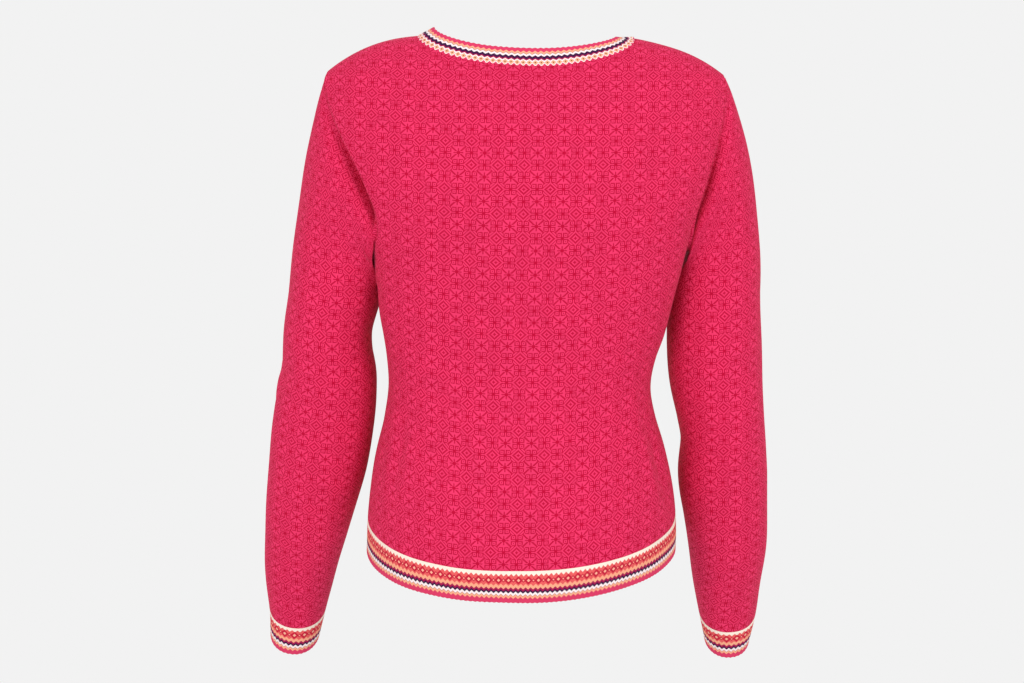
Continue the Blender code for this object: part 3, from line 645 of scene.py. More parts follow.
# Colours as they look in daylight, sRGB.
DARK_PINK, LIGHT_PINK = (193, 8, 56), (238, 56, 105)
CREAM, CORAL, DOT, RED = (255, 238, 222), (238, 98, 98), (255, 186, 160), (206, 32, 62)
PEACH, BURGUNDY, PURPLE = (255, 178, 142), (176, 24, 82), (66, 24, 68)
WHITE, BROWN, EDGE_PINK, OLIVE = (255, 238, 240), (196, 140, 120), (226, 62, 104), (150, 108, 70)
TAPE_RED, THREAD_PINK, NICKEL = (176, 24, 58), (222, 32, 84), (186, 180, 170)

# A band's stripes from its seam to its edge: where each ends, and its colour.
BAND_STRIPES = (
    (0.095, CREAM), (0.385, CORAL), (0.49, PEACH), (0.565, BURGUNDY), (0.635, PURPLE),
    (0.72, WHITE), (0.74, BROWN), (0.815, PEACH), (1.0, EDGE_PINK),
)
NECK_STRIPES = (
    (0.31, WHITE), (0.38, BURGUNDY), (0.53, PURPLE), (0.64, WHITE),
    (0.68, BROWN), (0.775, PEACH), (1.0, EDGE_PINK),
)
# Rows of diamonds: middle as a share of the band, period, then for each shift along
# the row its rings (how far each reaches, and its colour), and where the notches begin.
DIAMOND_LATTICE = (0.247, 2 * ZIGZAG, (
    (0.0, ((4.6, RED), (1.75, DOT))),
    (0.5, ((2.4, RED), (0.95, DOT))),
), 99.0)
SMALL_LATTICE = (0.165, ZIGZAG, ((0.0, ((2.6, PEACH), (1.0, OLIVE))),), 3.6)


def linear(colour, gain=0.88):
    """An sRGB colour as linear light."""
    value = np.asarray(colour, float) / 255
    value = np.where(value <= 0.04045, value / 12.92, ((value + 0.055) / 1.055) ** 2.4)
    return (*(float(v) for v in np.clip(value * gain, 0, 1)), 1.0)


# --------------------------------------------------------------- materials
class Work:
    """One material's node tree, built up from small sums."""

    def __init__(self, name, roughness, metallic=0.0, sheen=0.0):
        self.material = bpy.data.materials.new(name)
        self.material.use_nodes = True
        self.tree = self.material.node_tree
        self.shader = self.tree.nodes["Principled BSDF"]
        self.fill(self.shader, {
            "Roughness": roughness, "Metallic": metallic,
            "Sheen Weight": sheen, "Sheen Roughness": 0.3,
            "Specular IOR Level": 0.5 if metallic else CLOTH_SHINE,
        })

    def fill(self, node, values):
        """Sets or links a node's inputs, named or numbered."""
        for name, value in values.items():
            if isinstance(value, bpy.types.NodeSocket):
                self.tree.links.new(value, node.inputs[name])
            else:
                node.inputs[name].default_value = value

    def add(self, kind, values=None):
        """A new node with these inputs."""
        node = self.tree.nodes.new("ShaderNode" + kind)
        self.fill(node, values or {})
        return node

    def sum(self, operation, *values):
        node = self.add("Math", dict(enumerate(values)))
        node.operation = operation
        return node.outputs[0]

    def uv(self):
        """The cloth's own two directions, in millimetres."""
        node = self.add("UVMap")
        node.uv_map = "cloth"
        return self.add("SeparateXYZ", {0: node.outputs[0]}).outputs[:2]

    def ramp(self, at, stops):
        """A ramp that steps from colour to colour."""
        node = self.add("ValToRGB", {0: at})
        node.color_ramp.interpolation = "CONSTANT"
        elements = node.color_ramp.elements
        elements[0].position, elements[0].color = stops[0]
        elements[1].position, elements[1].color = stops[1]
        for position, colour in stops[2:]:
            elements.new(position).color = colour
        return node.outputs[0]

    def mix(self, share, first, second, kind="MIX"):
        node = self.add("Mix")
        node.data_type = "RGBA"
        node.blend_type = kind
        self.fill(node, {0: share, 6: first, 7: second})
        return node.outputs[2]

    def noise(self, scale, detail):
        """Cloudy values on the object's own coordinates, scale in waves per metre."""
        place = self.add("TexCoord").outputs["Object"]
        return self.add("TexNoise", {"Vector": place, "Scale": scale, "Detail": detail}).outputs[0]

    def bump(self, height, distance, strength=1.0):
        values = {"Height": height, "Distance": distance * MM, "Strength": strength}
        self.fill(self.shader, {"Normal": self.add("Bump", values).outputs[0]})

    def colour(self, value):
        self.fill(self.shader, {"Base Color": value})

    def stitches(self, u, v):
        """Knitted stitches: their column and row numbers, and the yarn's height."""
        across = self.sum("DIVIDE", u, STITCH[0])
        within = self.sum("FRACT", across)
        lean = self.sum("ABSOLUTE", self.sum("SUBTRACT", within, 0.5))
        up = self.sum("ADD", self.sum("DIVIDE", v, STITCH[1]), self.sum("MULTIPLY", lean, 0.9))
        arms = self.sum("ABSOLUTE", self.sum("SINE", self.sum("MULTIPLY", within, 2 * math.pi)))
        loops = self.sum("SINE", self.sum("MULTIPLY", self.sum("FRACT", up), math.pi))
        height = self.sum("MULTIPLY", arms, self.sum("POWER", loops, 0.6))
        return self.sum("FLOOR", across), self.sum("FLOOR", up), height

    def fold(self, number):
        """A stitch's number within the mirrored repeat, 0 to half of it."""
        within = self.sum("FLOORED_MODULO", number, REPEAT)
        off = self.sum("ABSOLUTE", self.sum("SUBTRACT", REPEAT / 2, within))
        return self.sum("SUBTRACT", REPEAT / 2, off)

    def tired(self, colour, amount=0.10):
        """Uneven dye and wear: cloudy patches a little lighter and darker."""
        patch = self.sum("MULTIPLY", self.noise(PATCHES, 3.0), 2 * amount)
        fibre = self.sum("MULTIPLY", self.noise(FIBRES, 1.0), 1.2 * amount)
        level = self.sum("ADD", self.sum("ADD", patch, fibre), 1 - 1.6 * amount)
        grey = self.add("CombineColor", {0: level, 1: level, 2: level})
        return self.mix(1.0, colour, grey.outputs[0], "MULTIPLY")


def knit_material(name, turned):
    """Two-colour jacquard; on the back of the cloth the colours change places."""
    work = Work(name, 0.92, sheen=0.06)
    u, v = work.uv()
    column_number, row_number, height = work.stitches(u, work.sum("ADD", v, FIGURE_UP))
    # Each row of the chart is one number in a ramp, a bit for each of its stitches.
    rows = len(CHART)
    stops = []
    for number, line in enumerate(CHART):
        bits = sum(2**place for place, mark in enumerate(line) if mark == "#")
        value = (bits + 0.5) / 2**rows
        stops.append((number / rows, (value, value, value, 1.0)))
    at = work.sum("DIVIDE", work.sum("ADD", work.fold(row_number), 0.5), rows)
    bits = work.sum("MULTIPLY", work.ramp(at, stops), 2**rows)
    shifted = work.sum("DIVIDE", bits, work.sum("POWER", 2.0, work.fold(column_number)))
    dark = work.sum("FLOORED_MODULO", work.sum("FLOOR", shifted), 2.0)
    first, second = (DARK_PINK, LIGHT_PINK) if turned else (LIGHT_PINK, DARK_PINK)
    work.colour(work.tired(work.mix(dark, linear(first), linear(second))))
    work.bump(work.sum("ADD", height, work.sum("MULTIPLY", dark, -0.25)), 0.22, 0.55)
    return work.material


def band_material(name, width, stripes, lattice, reach):
    """Zigzag stripes from seam to edge, with a row of diamonds between two of them;
    reach is how far the zigzags swing to either side."""
    work = Work(name, 0.9, sheen=0.05)
    u, v = work.uv()
    _, _, height = work.stitches(u, v)
    wave = work.sum("PINGPONG", work.sum("DIVIDE", u, ZIGZAG), 0.5)
    swing = work.sum("MULTIPLY", work.sum("SUBTRACT", wave, 0.25), 4 * reach)
    at = work.sum("DIVIDE", work.sum("ADD", v, swing), width)
    ends = [0.0] + [end for end, _ in stripes[:-1]]
    colour = work.ramp(at, [(end, linear(c)) for end, (_, c) in zip(ends, stripes)])

    # Diamonds: how far a point lies from the middle of the nearest one, in mm.
    middle, period, sizes, notch = lattice
    level = work.sum("SUBTRACT", v, middle * width)
    beside = work.sum("PINGPONG", u, period / 2)
    notched = work.sum("GREATER_THAN", work.sum("SUBTRACT", beside, level), notch)
    colour = work.mix(notched, colour, linear(EDGE_PINK))
    level = work.sum("ABSOLUTE", level)
    for shift, rings in sizes:
        beside = work.sum("PINGPONG", work.sum("ADD", u, shift * period), period / 2)
        off = work.sum("ADD", beside, level)
        for reach, ring_colour in rings:
            inside = work.sum("LESS_THAN", off, reach)
            colour = work.mix(inside, colour, linear(ring_colour))
    work.colour(work.tired(colour, 0.06))
    work.bump(height, 0.22, 0.5)
    return work.material


def plain_material(name, colour, roughness, metallic, grain, scale):
    work = Work(name, roughness, metallic)
    work.colour(work.tired(linear(colour), 0.06))
    work.bump(work.noise(scale, 3.0), grain)
    return work.material


def tape_material(name):
    """The fine slanting weave of a tape."""
    work = Work(name, 0.7, sheen=0.1)
    u, v = work.uv()
    slant = work.sum("ADD", v, work.sum("MULTIPLY", u, 0.6))
    across = work.sum("SINE", work.sum("MULTIPLY", slant, 9.0))
    along = work.sum("SINE", work.sum("MULTIPLY", u, 14.0))
    work.colour(work.tired(linear(TAPE_RED), 0.08))
    work.bump(work.sum("ADD", across, along), 0.06, 0.7)
    return work.material


# ------------------------------------------------------------------- cloth
# Waves of the cloth: height, how fast they pass along x, y and z, and their start.
RIPPLES = (
    (0.30, (0.050, 0.021, 0.034), 0.4),
    (0.26, (-0.031, 0.044, 0.061), 1.9),
    (0.22, (0.083, -0.037, 0.027), 3.1),
    (0.18, (0.026, 0.092, -0.071), 5.2),
)


def ripple(points):
    """The cloth's slight unevenness: a few long waves, fixed in space."""
    return sum(size * np.sin(points @ np.array(pace) + start) for size, pace, start in RIPPLES)


FOLD_END, FOLD_FADE = 0.02, 0.7  # how a fold fades along its line
# Soft ridges and troughs: height, radius and the line that each follows.
FOLDS = (
    (4.2, 15.0, ((148, 12, -200), (148, 12, -220), (147, 12, -242))),
    (-3.0, 9.0, ((122, 72, -330), (121, 73, -400), (124, 70, -478))),
    (2.2, 8.0, ((-112, 74, -325), (-123, 71, -398), (-137, 67, -458))),
    (-3.5, 9.0, ((-124, 62, -330), (-136, 54, -398), (-149, 47, -462))),
    (2.0, 9.0, ((-211, 8, -85), (-210, 9, -115), (-209, 9, -150))),
    (2.2, 13.0, ((243, -5, -318), (245, -6, -340), (246, -8, -362))),
    (-1.8, 8.0, ((214, 25, -325), (232, 12, -338), (244, 0, -345))),
    (-2.2, 7.0, ((196, -62, -322), (214, -62, -338), (232, -56, -346))),
    (-2.2, 7.0, ((-196, -62, -328), (-214, -62, -342), (-232, -54, -350))),
    (-2.5, 10.0, ((118, -66, -340), (122, -70, -400), (128, -70, -460))),
    (-2.2, 10.0, ((-118, -66, -345), (-123, -70, -405), (-128, -70, -465))),
)


def folds(points):
    """Soft ridges and troughs along short lines, fading at both ends."""
    total = np.zeros(points.shape[:-1])
    for height, radius, line in FOLDS:
        line = np.array(line, float)
        best = np.full(points.shape[:-1], np.inf)
        share = np.zeros(points.shape[:-1])
        along = lengths(line) / lengths(line)[-1]
        for a, b, start, end in zip(line[:-1], line[1:], along[:-1], along[1:]):
            t = np.clip((points - a) @ (b - a) / ((b - a) @ (b - a)), 0, 1)
            far = np.linalg.norm(points - a - t[..., None] * (b - a), axis=-1)
            nearer = far < best
            share = np.where(nearer, start + t * (end - start), share)
            best = np.minimum(best, far)
        fade = np.sin(math.pi * np.clip(share, FOLD_END, 1 - FOLD_END)) ** FOLD_FADE
        total += height * fade * np.exp(-((best / radius) ** 2))
    return total


def cloth_tables(half, side):
    """How far along its course (u) and up its wale (v) each point of a half lies."""
    phi = np.linspace(0, math.pi / 2, PHI_STEPS)
    lower = np.linspace(BAND_TOP_Z - TABLE_BELOW, CLOSING_Z, HEIGHT_STEPS)
    rise = np.sin(np.linspace(0, 1, HEIGHT_STEPS)[1:] * math.pi / 2)[:, None]
    z = np.repeat(np.append(lower, np.full(HEIGHT_STEPS - 1, CLOSING_Z))[:, None], PHI_STEPS, axis=1)
    for _ in range(4):
        top = shoulder_z(torso_across(phi, z[HEIGHT_STEPS:]))
        z[HEIGHT_STEPS:] = CLOSING_Z + (top - CLOSING_Z) * rise
    up = lengths(unposed_torso(half, side, phi, z))
    seam = np.interp(BAND_TOP_Z, lower, np.arange(HEIGHT_STEPS))
    low = int(seam)
    up -= up[low] + (seam - low) * (up[low + 1] - up[low])

    level = np.linspace(BAND_TOP_Z - TABLE_BELOW, TABLE_TOP_Z, HEIGHT_STEPS)[:, None]
    section = np.stack([torso_across(phi, level), torso_depth(half, phi, level)], axis=-1)
    return up, lengths(section, 1)


def look_up(table, row, place):
    """Reads a table between its rows and columns."""
    row = np.clip(row, 0, table.shape[0] - 1.001)
    place = np.clip(place, 0, table.shape[1] - 1.001)
    r, c = row.astype(int), place.astype(int)
    a, b = row - r, place - c
    upper = table[r + 1, c] * (1 - b) + table[r + 1, c + 1] * b
    return (table[r, c] * (1 - b) + table[r, c + 1] * b) * (1 - a) + upper * a


def panel_uv(half, side, phi, z):
    """Places on a half's cloth, its wales straight down the back's middle."""
    up, out = cloth_tables(half, side)
    place = phi / (math.pi / 2) * (PHI_STEPS - 1)
    begin = BAND_TOP_Z - TABLE_BELOW
    lower_row = (z - begin) / (CLOSING_Z - begin)
    upper_row = 1 + np.arcsin(closing_share(torso_across(phi, z), z)) / (math.pi / 2)
    row = np.where(z < CLOSING_Z, lower_row, upper_row) * (HEIGHT_STEPS - 1)
    level_row = (z - begin) / (TABLE_TOP_Z - begin) * (HEIGHT_STEPS - 1)
    along = side * look_up(out, level_row, place)
    if half == "back":
        middle = torso_points("back", 1, np.zeros_like(z), z)[..., 0]
        along = along + middle - (STRAIGHT_X + STRAIGHT_LEAN * z)
    return np.stack([along, look_up(up, row, place)], axis=-1)


def gather(*parts):
    """One grid of points, normals and places on the cloth."""
    return np.concatenate(parts, axis=-1)


def closed_round(grid):
    """Repeats a ring's first column at its end."""
    return np.concatenate([grid, grid[:, :1]], axis=1)


def ring_uv(grid):
    """Places on a tube's cloth: along from its outer line, up from its lower end."""
    ring = closed_round(grid)
    along, up = lengths(ring, 1), lengths(ring[::-1])[::-1]
    return np.stack([along - along[:, grid.shape[1] // 2][:, None], up], axis=-1)


def edge_distance(points, edge):
    """How far each point lies from an edge, along its row or column."""
    axis = 0 if edge in ("top", "bottom") else 1
    along = lengths(points, axis)
    return along if edge in ("bottom", "left") else np.take(along, [-1], axis=axis) - along


def refine(data, edges):
    """Adds rows of points close beside the named edges."""
    for axis, ends in ((0, ("bottom", "top")), (1, ("left", "right"))):
        last = data.shape[axis] - 1
        at = [np.arange(last + 1, dtype=float)]
        for end in ends:
            if end in edges:
                far = edge_distance(data[..., :3], end)
                step = float(np.median(np.take(far, [1 if end == ends[0] else last - 1], axis=axis)))
                cuts = np.array(EDGE_CUTS) / step
                cuts = cuts[np.abs(cuts - np.round(cuts)) > CUT_CLEAR]
                at.append(cuts if end == ends[0] else last - cuts)
        at = np.unique(np.concatenate(at))
        low = np.minimum(at.astype(int), last - 1)
        share = (at - low).reshape((-1, 1, 1) if axis == 0 else (1, -1, 1))
        data = np.take(data, low, axis=axis) * (1 - share) + np.take(data, low + 1, axis=axis) * share
    return data


# How far a sleeve's cloth drops beside its armhole seam, in mm, by the share of
# the way round from the armpit over back, shoulder and front, and how wide.
TUCK_SHARES = (0.0, 0.06, 0.14, 0.22, 0.30, 0.37, 0.44, 0.50, 0.60, 0.75, 0.90, 1.0)
TUCKS = {
    +1: ((3.0, 9.0, 18.0, 22.0, 15.0, 6.0, 2.0, 0.5, 1.5, 4.0, 8.0, 6.0), 16.0),
    -1: ((5.0, 11.0, 16.0, 15.0, 8.0, 3.0, 1.5, 0.5, 1.5, 4.0, 7.0, 5.0), 8.5),
}
TUCK_STEEP = 2.0


def quads(grid):
    """The four corners of each face of a grid of numbers."""
    corners = [grid[:-1, :-1], grid[:-1, 1:], grid[1:, 1:], grid[1:, :-1]]
    return np.stack(corners, axis=-1).reshape(-1, 4)


def wall_faces(outer, inner, closed):
    """Corners of a wall's faces, from its outer and inner grids of numbers: the
    outside, the inside and the rims; and how many of them are outside and inside."""
    flipped, turned = [0, 3, 2, 1], [1, 0, 3, 2]
    parts = [quads(outer), quads(inner)[:, flipped]]
    rims = [(np.s_[0], turned), (np.s_[-1], slice(None))]
    if not closed:
        rims += [(np.s_[:, 0], slice(None)), (np.s_[:, -1], turned)]
    parts += [quads(np.stack([outer[edge], inner[edge]]))[:, order] for edge, order in rims]
    return np.vstack(parts), len(parts[0])


def dropped(points, tuck):
    """How far a sleeve's cloth drops beside its armhole seam."""
    depths, reach = tuck
    far = edge_distance(points, "bottom")
    drop = np.interp(np.linspace(0, 1, points.shape[1]), TUCK_SHARES, depths)
    return drop * (1 - np.exp(-((far / TUCK_STEEP) ** 2))) * np.exp(-((far / reach) ** 2))


def waved(points, uv, edge, far):
    """Draws a band's edge out and in with its zigzags."""
    across = uv[..., 0] / ZIGZAG
    wave = np.abs(across - np.floor(across) - 0.5) * 4 - 1
    row, beside = END_ROWS[edge]
    way = unit(points[row] - points[beside])
    return points + way * (SCALLOP * wave * np.clip(1 - far / SCALLOP_REACH, 0, 1))[..., None]


def both_sides(points, normals, uv, thickness, edges, tuck):
    """The cloth's outside and inside: uneven, sunk at seams, rounded at open edges."""
    outer = ripple(points) + folds(points)
    if tuck:
        outer -= dropped(points, tuck)
    inner = outer - thickness
    half = thickness / 2
    for edge, kind in edges.items():
        far = edge_distance(points, edge)
        if kind in SEAM_DIP:
            dip = SEAM_DIP[kind] * np.exp(-((far / SEAM_WIDE) ** 2))
            outer -= dip
            inner -= np.maximum(dip - SEAM_PLAY, 0)
            continue
        round_off = half * (1 - np.sqrt(1 - np.clip(1 - far / half, 0, 1) ** 2)) * EDGE_ROUND
        outer -= round_off
        inner += round_off
        if kind == "waved":
            points = waved(points, uv, edge, far)
    return points + normals * outer[..., None], points + normals * inner[..., None]


def shell(name, data, thickness, closed, looks, edges, tuck=None):
    """Cloth of that thickness under the grid in data; edges says which edges are
    sewn and which are open. looks are the outside's and the inside's material."""
    data = refine(data, edges)
    points, normals, uv = data[..., :3], unit(data[..., 3:6]), data[..., 6:8]
    outer, inner = both_sides(points, normals, uv, thickness, edges, tuck)

    rows, columns = uv.shape[:2]
    kept = columns - 1 if closed else columns
    index = np.arange(rows * kept).reshape(rows, kept)
    index = closed_round(index) if closed else index
    places = np.arange(rows * columns).reshape(rows, columns)
    corners, outside = wall_faces(index, index + rows * kept, closed)
    uv_corners, _ = wall_faces(places, places, closed)
    sides = np.zeros(len(corners), dtype=int)
    sides[outside : 2 * outside] = 1
    around = outer[:-1, 1:] - outer[:-1, :-1]
    down = outer[1:, :-1] - outer[:-1, :-1]
    if np.sum(np.cross(around, down) * normals[:-1, :-1]) < 0:
        corners, uv_corners = corners[:, ::-1], uv_corners[:, ::-1]

    vertices = np.concatenate([part[:, :kept].reshape(-1, 3) for part in (outer, inner)])
    made = mesh_object(name, vertices, corners, looks, sides)
    layer = made.data.uv_layers.new(name="cloth")
    places_uv = uv.reshape(-1, 2)[uv_corners.reshape(-1)]
    layer.data.foreach_set("uv", places_uv.reshape(-1).astype(np.float32))
    return made


def mesh_object(name, vertices, faces, materials, sides=None, smooth=True):
    mesh = bpy.data.meshes.new(name)
    mesh.from_pydata((np.asarray(vertices) * MM).tolist(), [], [list(map(int, face)) for face in faces])
    for material in materials:
        mesh.materials.append(material)
    if sides is not None:
        mesh.polygons.foreach_set("material_index", np.asarray(sides, dtype=np.int32))
    mesh.polygons.foreach_set("use_smooth", np.full(len(mesh.polygons), smooth))
    mesh.update()
    made = bpy.data.objects.new(name, mesh)
    bpy.context.scene.collection.objects.link(made)
    return made


def share_seams(back_n, front_n, fine):
    """Gives back and front one normal along the side seam and the shoulder seam."""
    for seam in (np.s_[: BODY_ROWS * fine + 1, -1], np.s_[-1, NECK_COLUMNS * fine :]):
        both = unit(back_n[seam] + front_n[seam])
        back_n[seam] = both
        front_n[seam] = both


def build_sleeves(looks):
    """Both sleeves. Returns the normals along each one's armhole, by side."""
    armhole_n = {}
    edges = {"top": "seam", "bottom": "sewn"}
    for side, name in SIDES:
        sleeve, sleeve_n, _, _ = sleeve_parts(side, PANEL_FINE)
        armhole_n[side] = sleeve_n[0]
        uv = ring_uv(sleeve)
        uv[..., 0] *= side
        data = gather(closed_round(sleeve), closed_round(sleeve_n), uv)
        made = shell(f"sleeve_{name}_cloth", data, KNIT_WALL, True, looks, edges, TUCKS[side])
        place_cloth(made, f"sleeve_{name}")
    return armhole_n


def half_grids(armhole_n):
    """The grid of each half panel, with the normals of whatever it is sewn to."""
    fine = PANEL_FINE
    grids = {}
    for half, side, _ in ROUND:
        phi, z = half_panel(half, side, fine)
        grids[half, side] = [*torso_grid(half, side, phi, z), panel_uv(half, side, phi, z)]
    count, rows = NECK_COLUMNS * fine, ARMHOLE_ROWS * fine
    upwards = np.arange(rows + 1)
    for side, _ in SIDES:
        share_seams(grids["back", side][1], grids["front", side][1], fine)
        for half, places in (("back", upwards), ("front", (2 * rows - upwards) % (2 * rows))):
            grids[half, side][1][BODY_ROWS * fine :, -1] = armhole_n[side][places]
    neck_n = neck_band(fine)[1][0]
    for number, (half, side, turned) in enumerate(ROUND):
        part = neck_n[number * count : (number + 1) * count + 1]
        grids[half, side][1][-1, : count + 1] = part[::-1] if turned else part
    return {place: gather(*parts) for place, parts in grids.items()}


def build_body(looks, armhole_n):
    """Back and fronts. Returns their grids for what is sewn on them."""
    grids = half_grids(armhole_n)
    back = np.hstack([grids["back", -1][:, ::-1], grids["back", 1][:, 1:]])
    edges = {"top": "seam", "bottom": "seam", "left": "sewn", "right": "sewn"}
    made = shell("back_cloth", back, KNIT_WALL, False, looks, edges)
    place_cloth(made, "back")
    edges = {"top": "seam", "bottom": "seam", "right": "sewn", "left": "open"}
    for side, name in SIDES:
        made = shell(f"front_{name}_cloth", grids["front", side], KNIT_WALL, False, looks, edges)
        place_cloth(made, f"front_{name}")
    return back, {side: grids["front", side] for side, _ in SIDES}


def band_uv(points, height, flipped=False):
    """Places on a band's cloth: along its middle row, and from its seam out."""
    along = lengths(points[len(points) // 2])
    along = along - along[-1] / 2
    up = np.linspace(0, height, len(points))
    up = up[::-1] if flipped else up
    return np.stack(np.broadcast_arrays(along[None, :], up[:, None]), axis=-1)


def build_bands(looks):
    """Neck band and hem band. Returns their grids."""
    grids = []
    for name, grid, height, closer, seam, edge, flat in (
        ("neck", neck_band(BAND_FINE), NECK_BAND, NECK_CLOSER, "bottom", "top", NECK_FLAT),
        ("hem", hem_band(BAND_FINE), BAND_TOP_Z - HEM_Z, HEM_CLOSER, "top", "bottom", HEM_FLAT),
    ):
        points, normals = grid
        uv = band_uv(points, height, seam == "top")
        uv[..., 0] *= closer
        grids.append(gather(points, normals, uv))
        edges = {seam: "seam", edge: "waved", "left": "open", "right": "open"}
        made = shell(f"{name}_band_cloth", grids[-1], BAND_WALL, False, looks[name], edges)
        place_cloth(made, f"{name}_band")
    return grids


def build_cuffs(looks):
    """Both cuffs, each with a whole number of zigzags round it."""
    edges = {"top": "waved", "bottom": "seam"}
    for side, name in SIDES:
        _, _, cuff, cuff_n = sleeve_parts(side, BAND_FINE)
        uv = band_uv(closed_round(cuff), CUFF)
        width = 2 * uv[0, -1, 0]
        uv[..., 0] *= (width // ZIGZAG) * ZIGZAG / width
        data = gather(closed_round(cuff), closed_round(cuff_n), uv)
        made = shell(f"cuff_{name}_cloth", data, BAND_WALL, True, looks, edges)
        place_cloth(made, f"cuff_{name}")


def belongs(made, node, body="garment"):
    """Attaches a piece to what it moves with and hides the part that it stands for."""
    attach(made, body)
    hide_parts(node)


def place_cloth(made, node):
    """Attaches a piece of cloth to what it moves with and hides the part that it stands for."""
    belongs(made, node)


# ------------------------------------------------------------------- zip
TOOTH_PITCH = 2.5  # on one side
TOOTH_HALF, TOOTH_REACH, TOOTH_ROOT = 0.62, 0.75, 2.3  # past the middle line, and to the tape
KNOB_HALF = 0.36  # of the knob on a tooth
TAPE_CORD = 0.45  # how far the cord beside a tape's edge stands up
STUD_X, STUD_HALF = 1.9, 0.7  # the box's studs
SLIDER_TAPER = 0.24  # how much narrower the slider is at its lower end
BOX_END = TAPE_SHORT + BOX_LONG
FACE = CHAIN_DEPTH - SEAM_GAP - PLATE  # where the slider's front plate begins
BEHIND = TAPE_DEPTH + TAPE + SEAM_GAP  # and its back plate
PIN_ALONG, PIN_DEPTH = SLIDER_ALONG + SLIDER_LONG / 2, FACE - PIN_LIFT  # the pull's cross bar


def bevelled(cuts, bevel, segments=1):
    """Vertices and faces of a block between three pairs of cuts, its edges rounded."""
    work = bmesh.new()
    bmesh.ops.create_cube(work, size=1.0)
    low, high = np.array(cuts, float).T
    for vertex in work.verts:
        share = np.array(vertex.co) + 0.5
        vertex.co = Vector(low + share * (high - low))
    bmesh.ops.bevel(work, geom=work.edges[:], offset=bevel, segments=segments, profile=0.6, affect="EDGES")
    work.verts.index_update()
    vertices = np.array([vertex.co[:] for vertex in work.verts])
    faces = [[vertex.index for vertex in face.verts] for face in work.faces]
    work.free()
    return vertices, faces


def block(head, cuts, bevel, segments=1):
    """A bevelled block set in a frame's axes."""
    vertices, faces = bevelled(cuts, bevel, segments)
    return head.place(vertices), faces


def strips(count, rings):
    """Faces between rings of count points, each ring named by its number."""
    faces = []
    for a, b in zip(rings[:-1], rings[1:]):
        for i in range(count):
            j = (i + 1) % count
            faces.append([a * count + i, a * count + j, b * count + j, b * count + i])
    return faces


def rod_faces(count, rings):
    """Faces of a rod of that many rings of count points, closed at both ends."""
    last = (rings - 1) * count
    ends = [list(range(count)), [last + k for k in reversed(range(count))]]
    return strips(count, range(rings)) + ends


def gather_parts(parts):
    """Several (vertices, faces) as one."""
    faces, start = [], 0
    for points, part_faces in parts:
        faces += [[start + i for i in face] for face in part_faces]
        start += len(points)
    return np.vstack([points for points, _ in parts]), faces


def plate(head, outline, hole, low, high, edge):
    """A flat plate between two depths, its outline's edge rounded, round a hole."""
    away = unit(outline - outline.mean(axis=0))
    rings = []
    for depth, drawn in ((low + edge, 0.0), (low, edge), (high, edge), (high - edge, 0.0)):
        rings.append(np.column_stack([outline - away * drawn, np.full(len(outline), depth)]))
    rings += [np.column_stack([hole, np.full(len(hole), depth)]) for depth in (low, high)]
    return head.place(np.vstack(rings)), strips(len(outline), (0, 1, 4, 5, 2, 3, 0))


def rounded(half_width, low, high, corner, count=64):
    """Outline of a rounded rectangle (across, along), as seen from its middle."""
    c, s = superellipse(turns(count), corner)
    return np.column_stack([half_width * c, (low + high) / 2 + (high - low) / 2 * s])


def fix_normals(made):
    work = bmesh.new()
    work.from_mesh(made.data)
    bmesh.ops.recalc_face_normals(work, faces=work.faces)
    work.to_mesh(made.data)
    work.free()


def metal_piece(name, node, parts, material, body="garment"):
    vertices, faces = gather_parts(parts)
    made = mesh_object(name, vertices, faces, [material])
    fix_normals(made)
    made.data.set_sharp_from_angle(angle=math.radians(35))
    belongs(made, node, body)


def zip_edges(hem, fronts, neck):
    """The two front edges from hem to neck, with their outward normals."""
    edges = []
    for side, place in ((1, 0), (-1, -1)):
        rows = [hem[::4, place], fronts[side][1:, 0], neck[4::4, place]]
        both = np.vstack([row[:, :6] for row in rows])
        edges.append((both[:, :3], unit(both[:, 3:6])))
    return zip_line(*edges)


def build_tapes(line, material):
    middle, across, inward = cut_line(line, TAPE_SHORT, TAPE_SHORT)
    for side, name in SIDES:
        cuts = side * np.array([TAPE_IN, TAPE_IN + 0.5, TAPE_IN + 1.2, 5.0, 9.0, TAPE_OUT - 1.0, TAPE_OUT])
        depths = np.full(len(cuts), TAPE_DEPTH + 0.1)
        depths[1] -= TAPE_CORD
        points = middle[:, None] + across[:, None] * cuts[:, None] + inward[:, None] * depths[:, None]
        normals = np.repeat(-inward[:, None], len(cuts), axis=1)
        uv = np.stack(np.broadcast_arrays(cuts[None, :], lengths(middle)[:, None]), axis=-1)
        looks, edges = (material, material), {"left": "open", "right": "open"}
        made = shell(f"zip_tape_{name}_cloth", gather(points, normals, uv), TAPE_WALL, False, looks, edges)
        belongs(made, f"zip_tape_{name}")


def teeth(line):
    """Two rows of teeth that mesh, each tooth with a knob at its tip."""
    chain = cut_line(line, BOX_END + SEAM_GAP, SLIDER_ALONG + POST_LONG + SEAM_GAP)
    along = lengths(chain[0])
    low, high = CHAIN_DEPTH + 0.1, CHAIN_DEPTH + CHAIN - 0.1
    forms = (
        bevelled(((-TOOTH_REACH, TOOTH_ROOT), (-TOOTH_HALF, TOOTH_HALF), (low, high)), 0.28),
        bevelled(((-TOOTH_REACH - 0.25, 0.15), (-KNOB_HALF, KNOB_HALF), (low - 0.15, low + 0.5)), 0.2),
    )
    parts = []
    count = int((along[-1] - 2 * TOOTH_HALF) / (TOOTH_PITCH / 2))
    for number in range(count + 1):
        at = TOOTH_HALF + number * TOOTH_PITCH / 2
        origin, out, into = (read_along(at, along, part) for part in chain)
        up = unit(read_along(at + 1, along, chain[0]) - read_along(at - 1, along, chain[0]))
        out = out if number % 2 else -out
        for shape, faces in forms:
            parts.append((origin + shape @ np.array([out, up, into]), faces))
    return parts


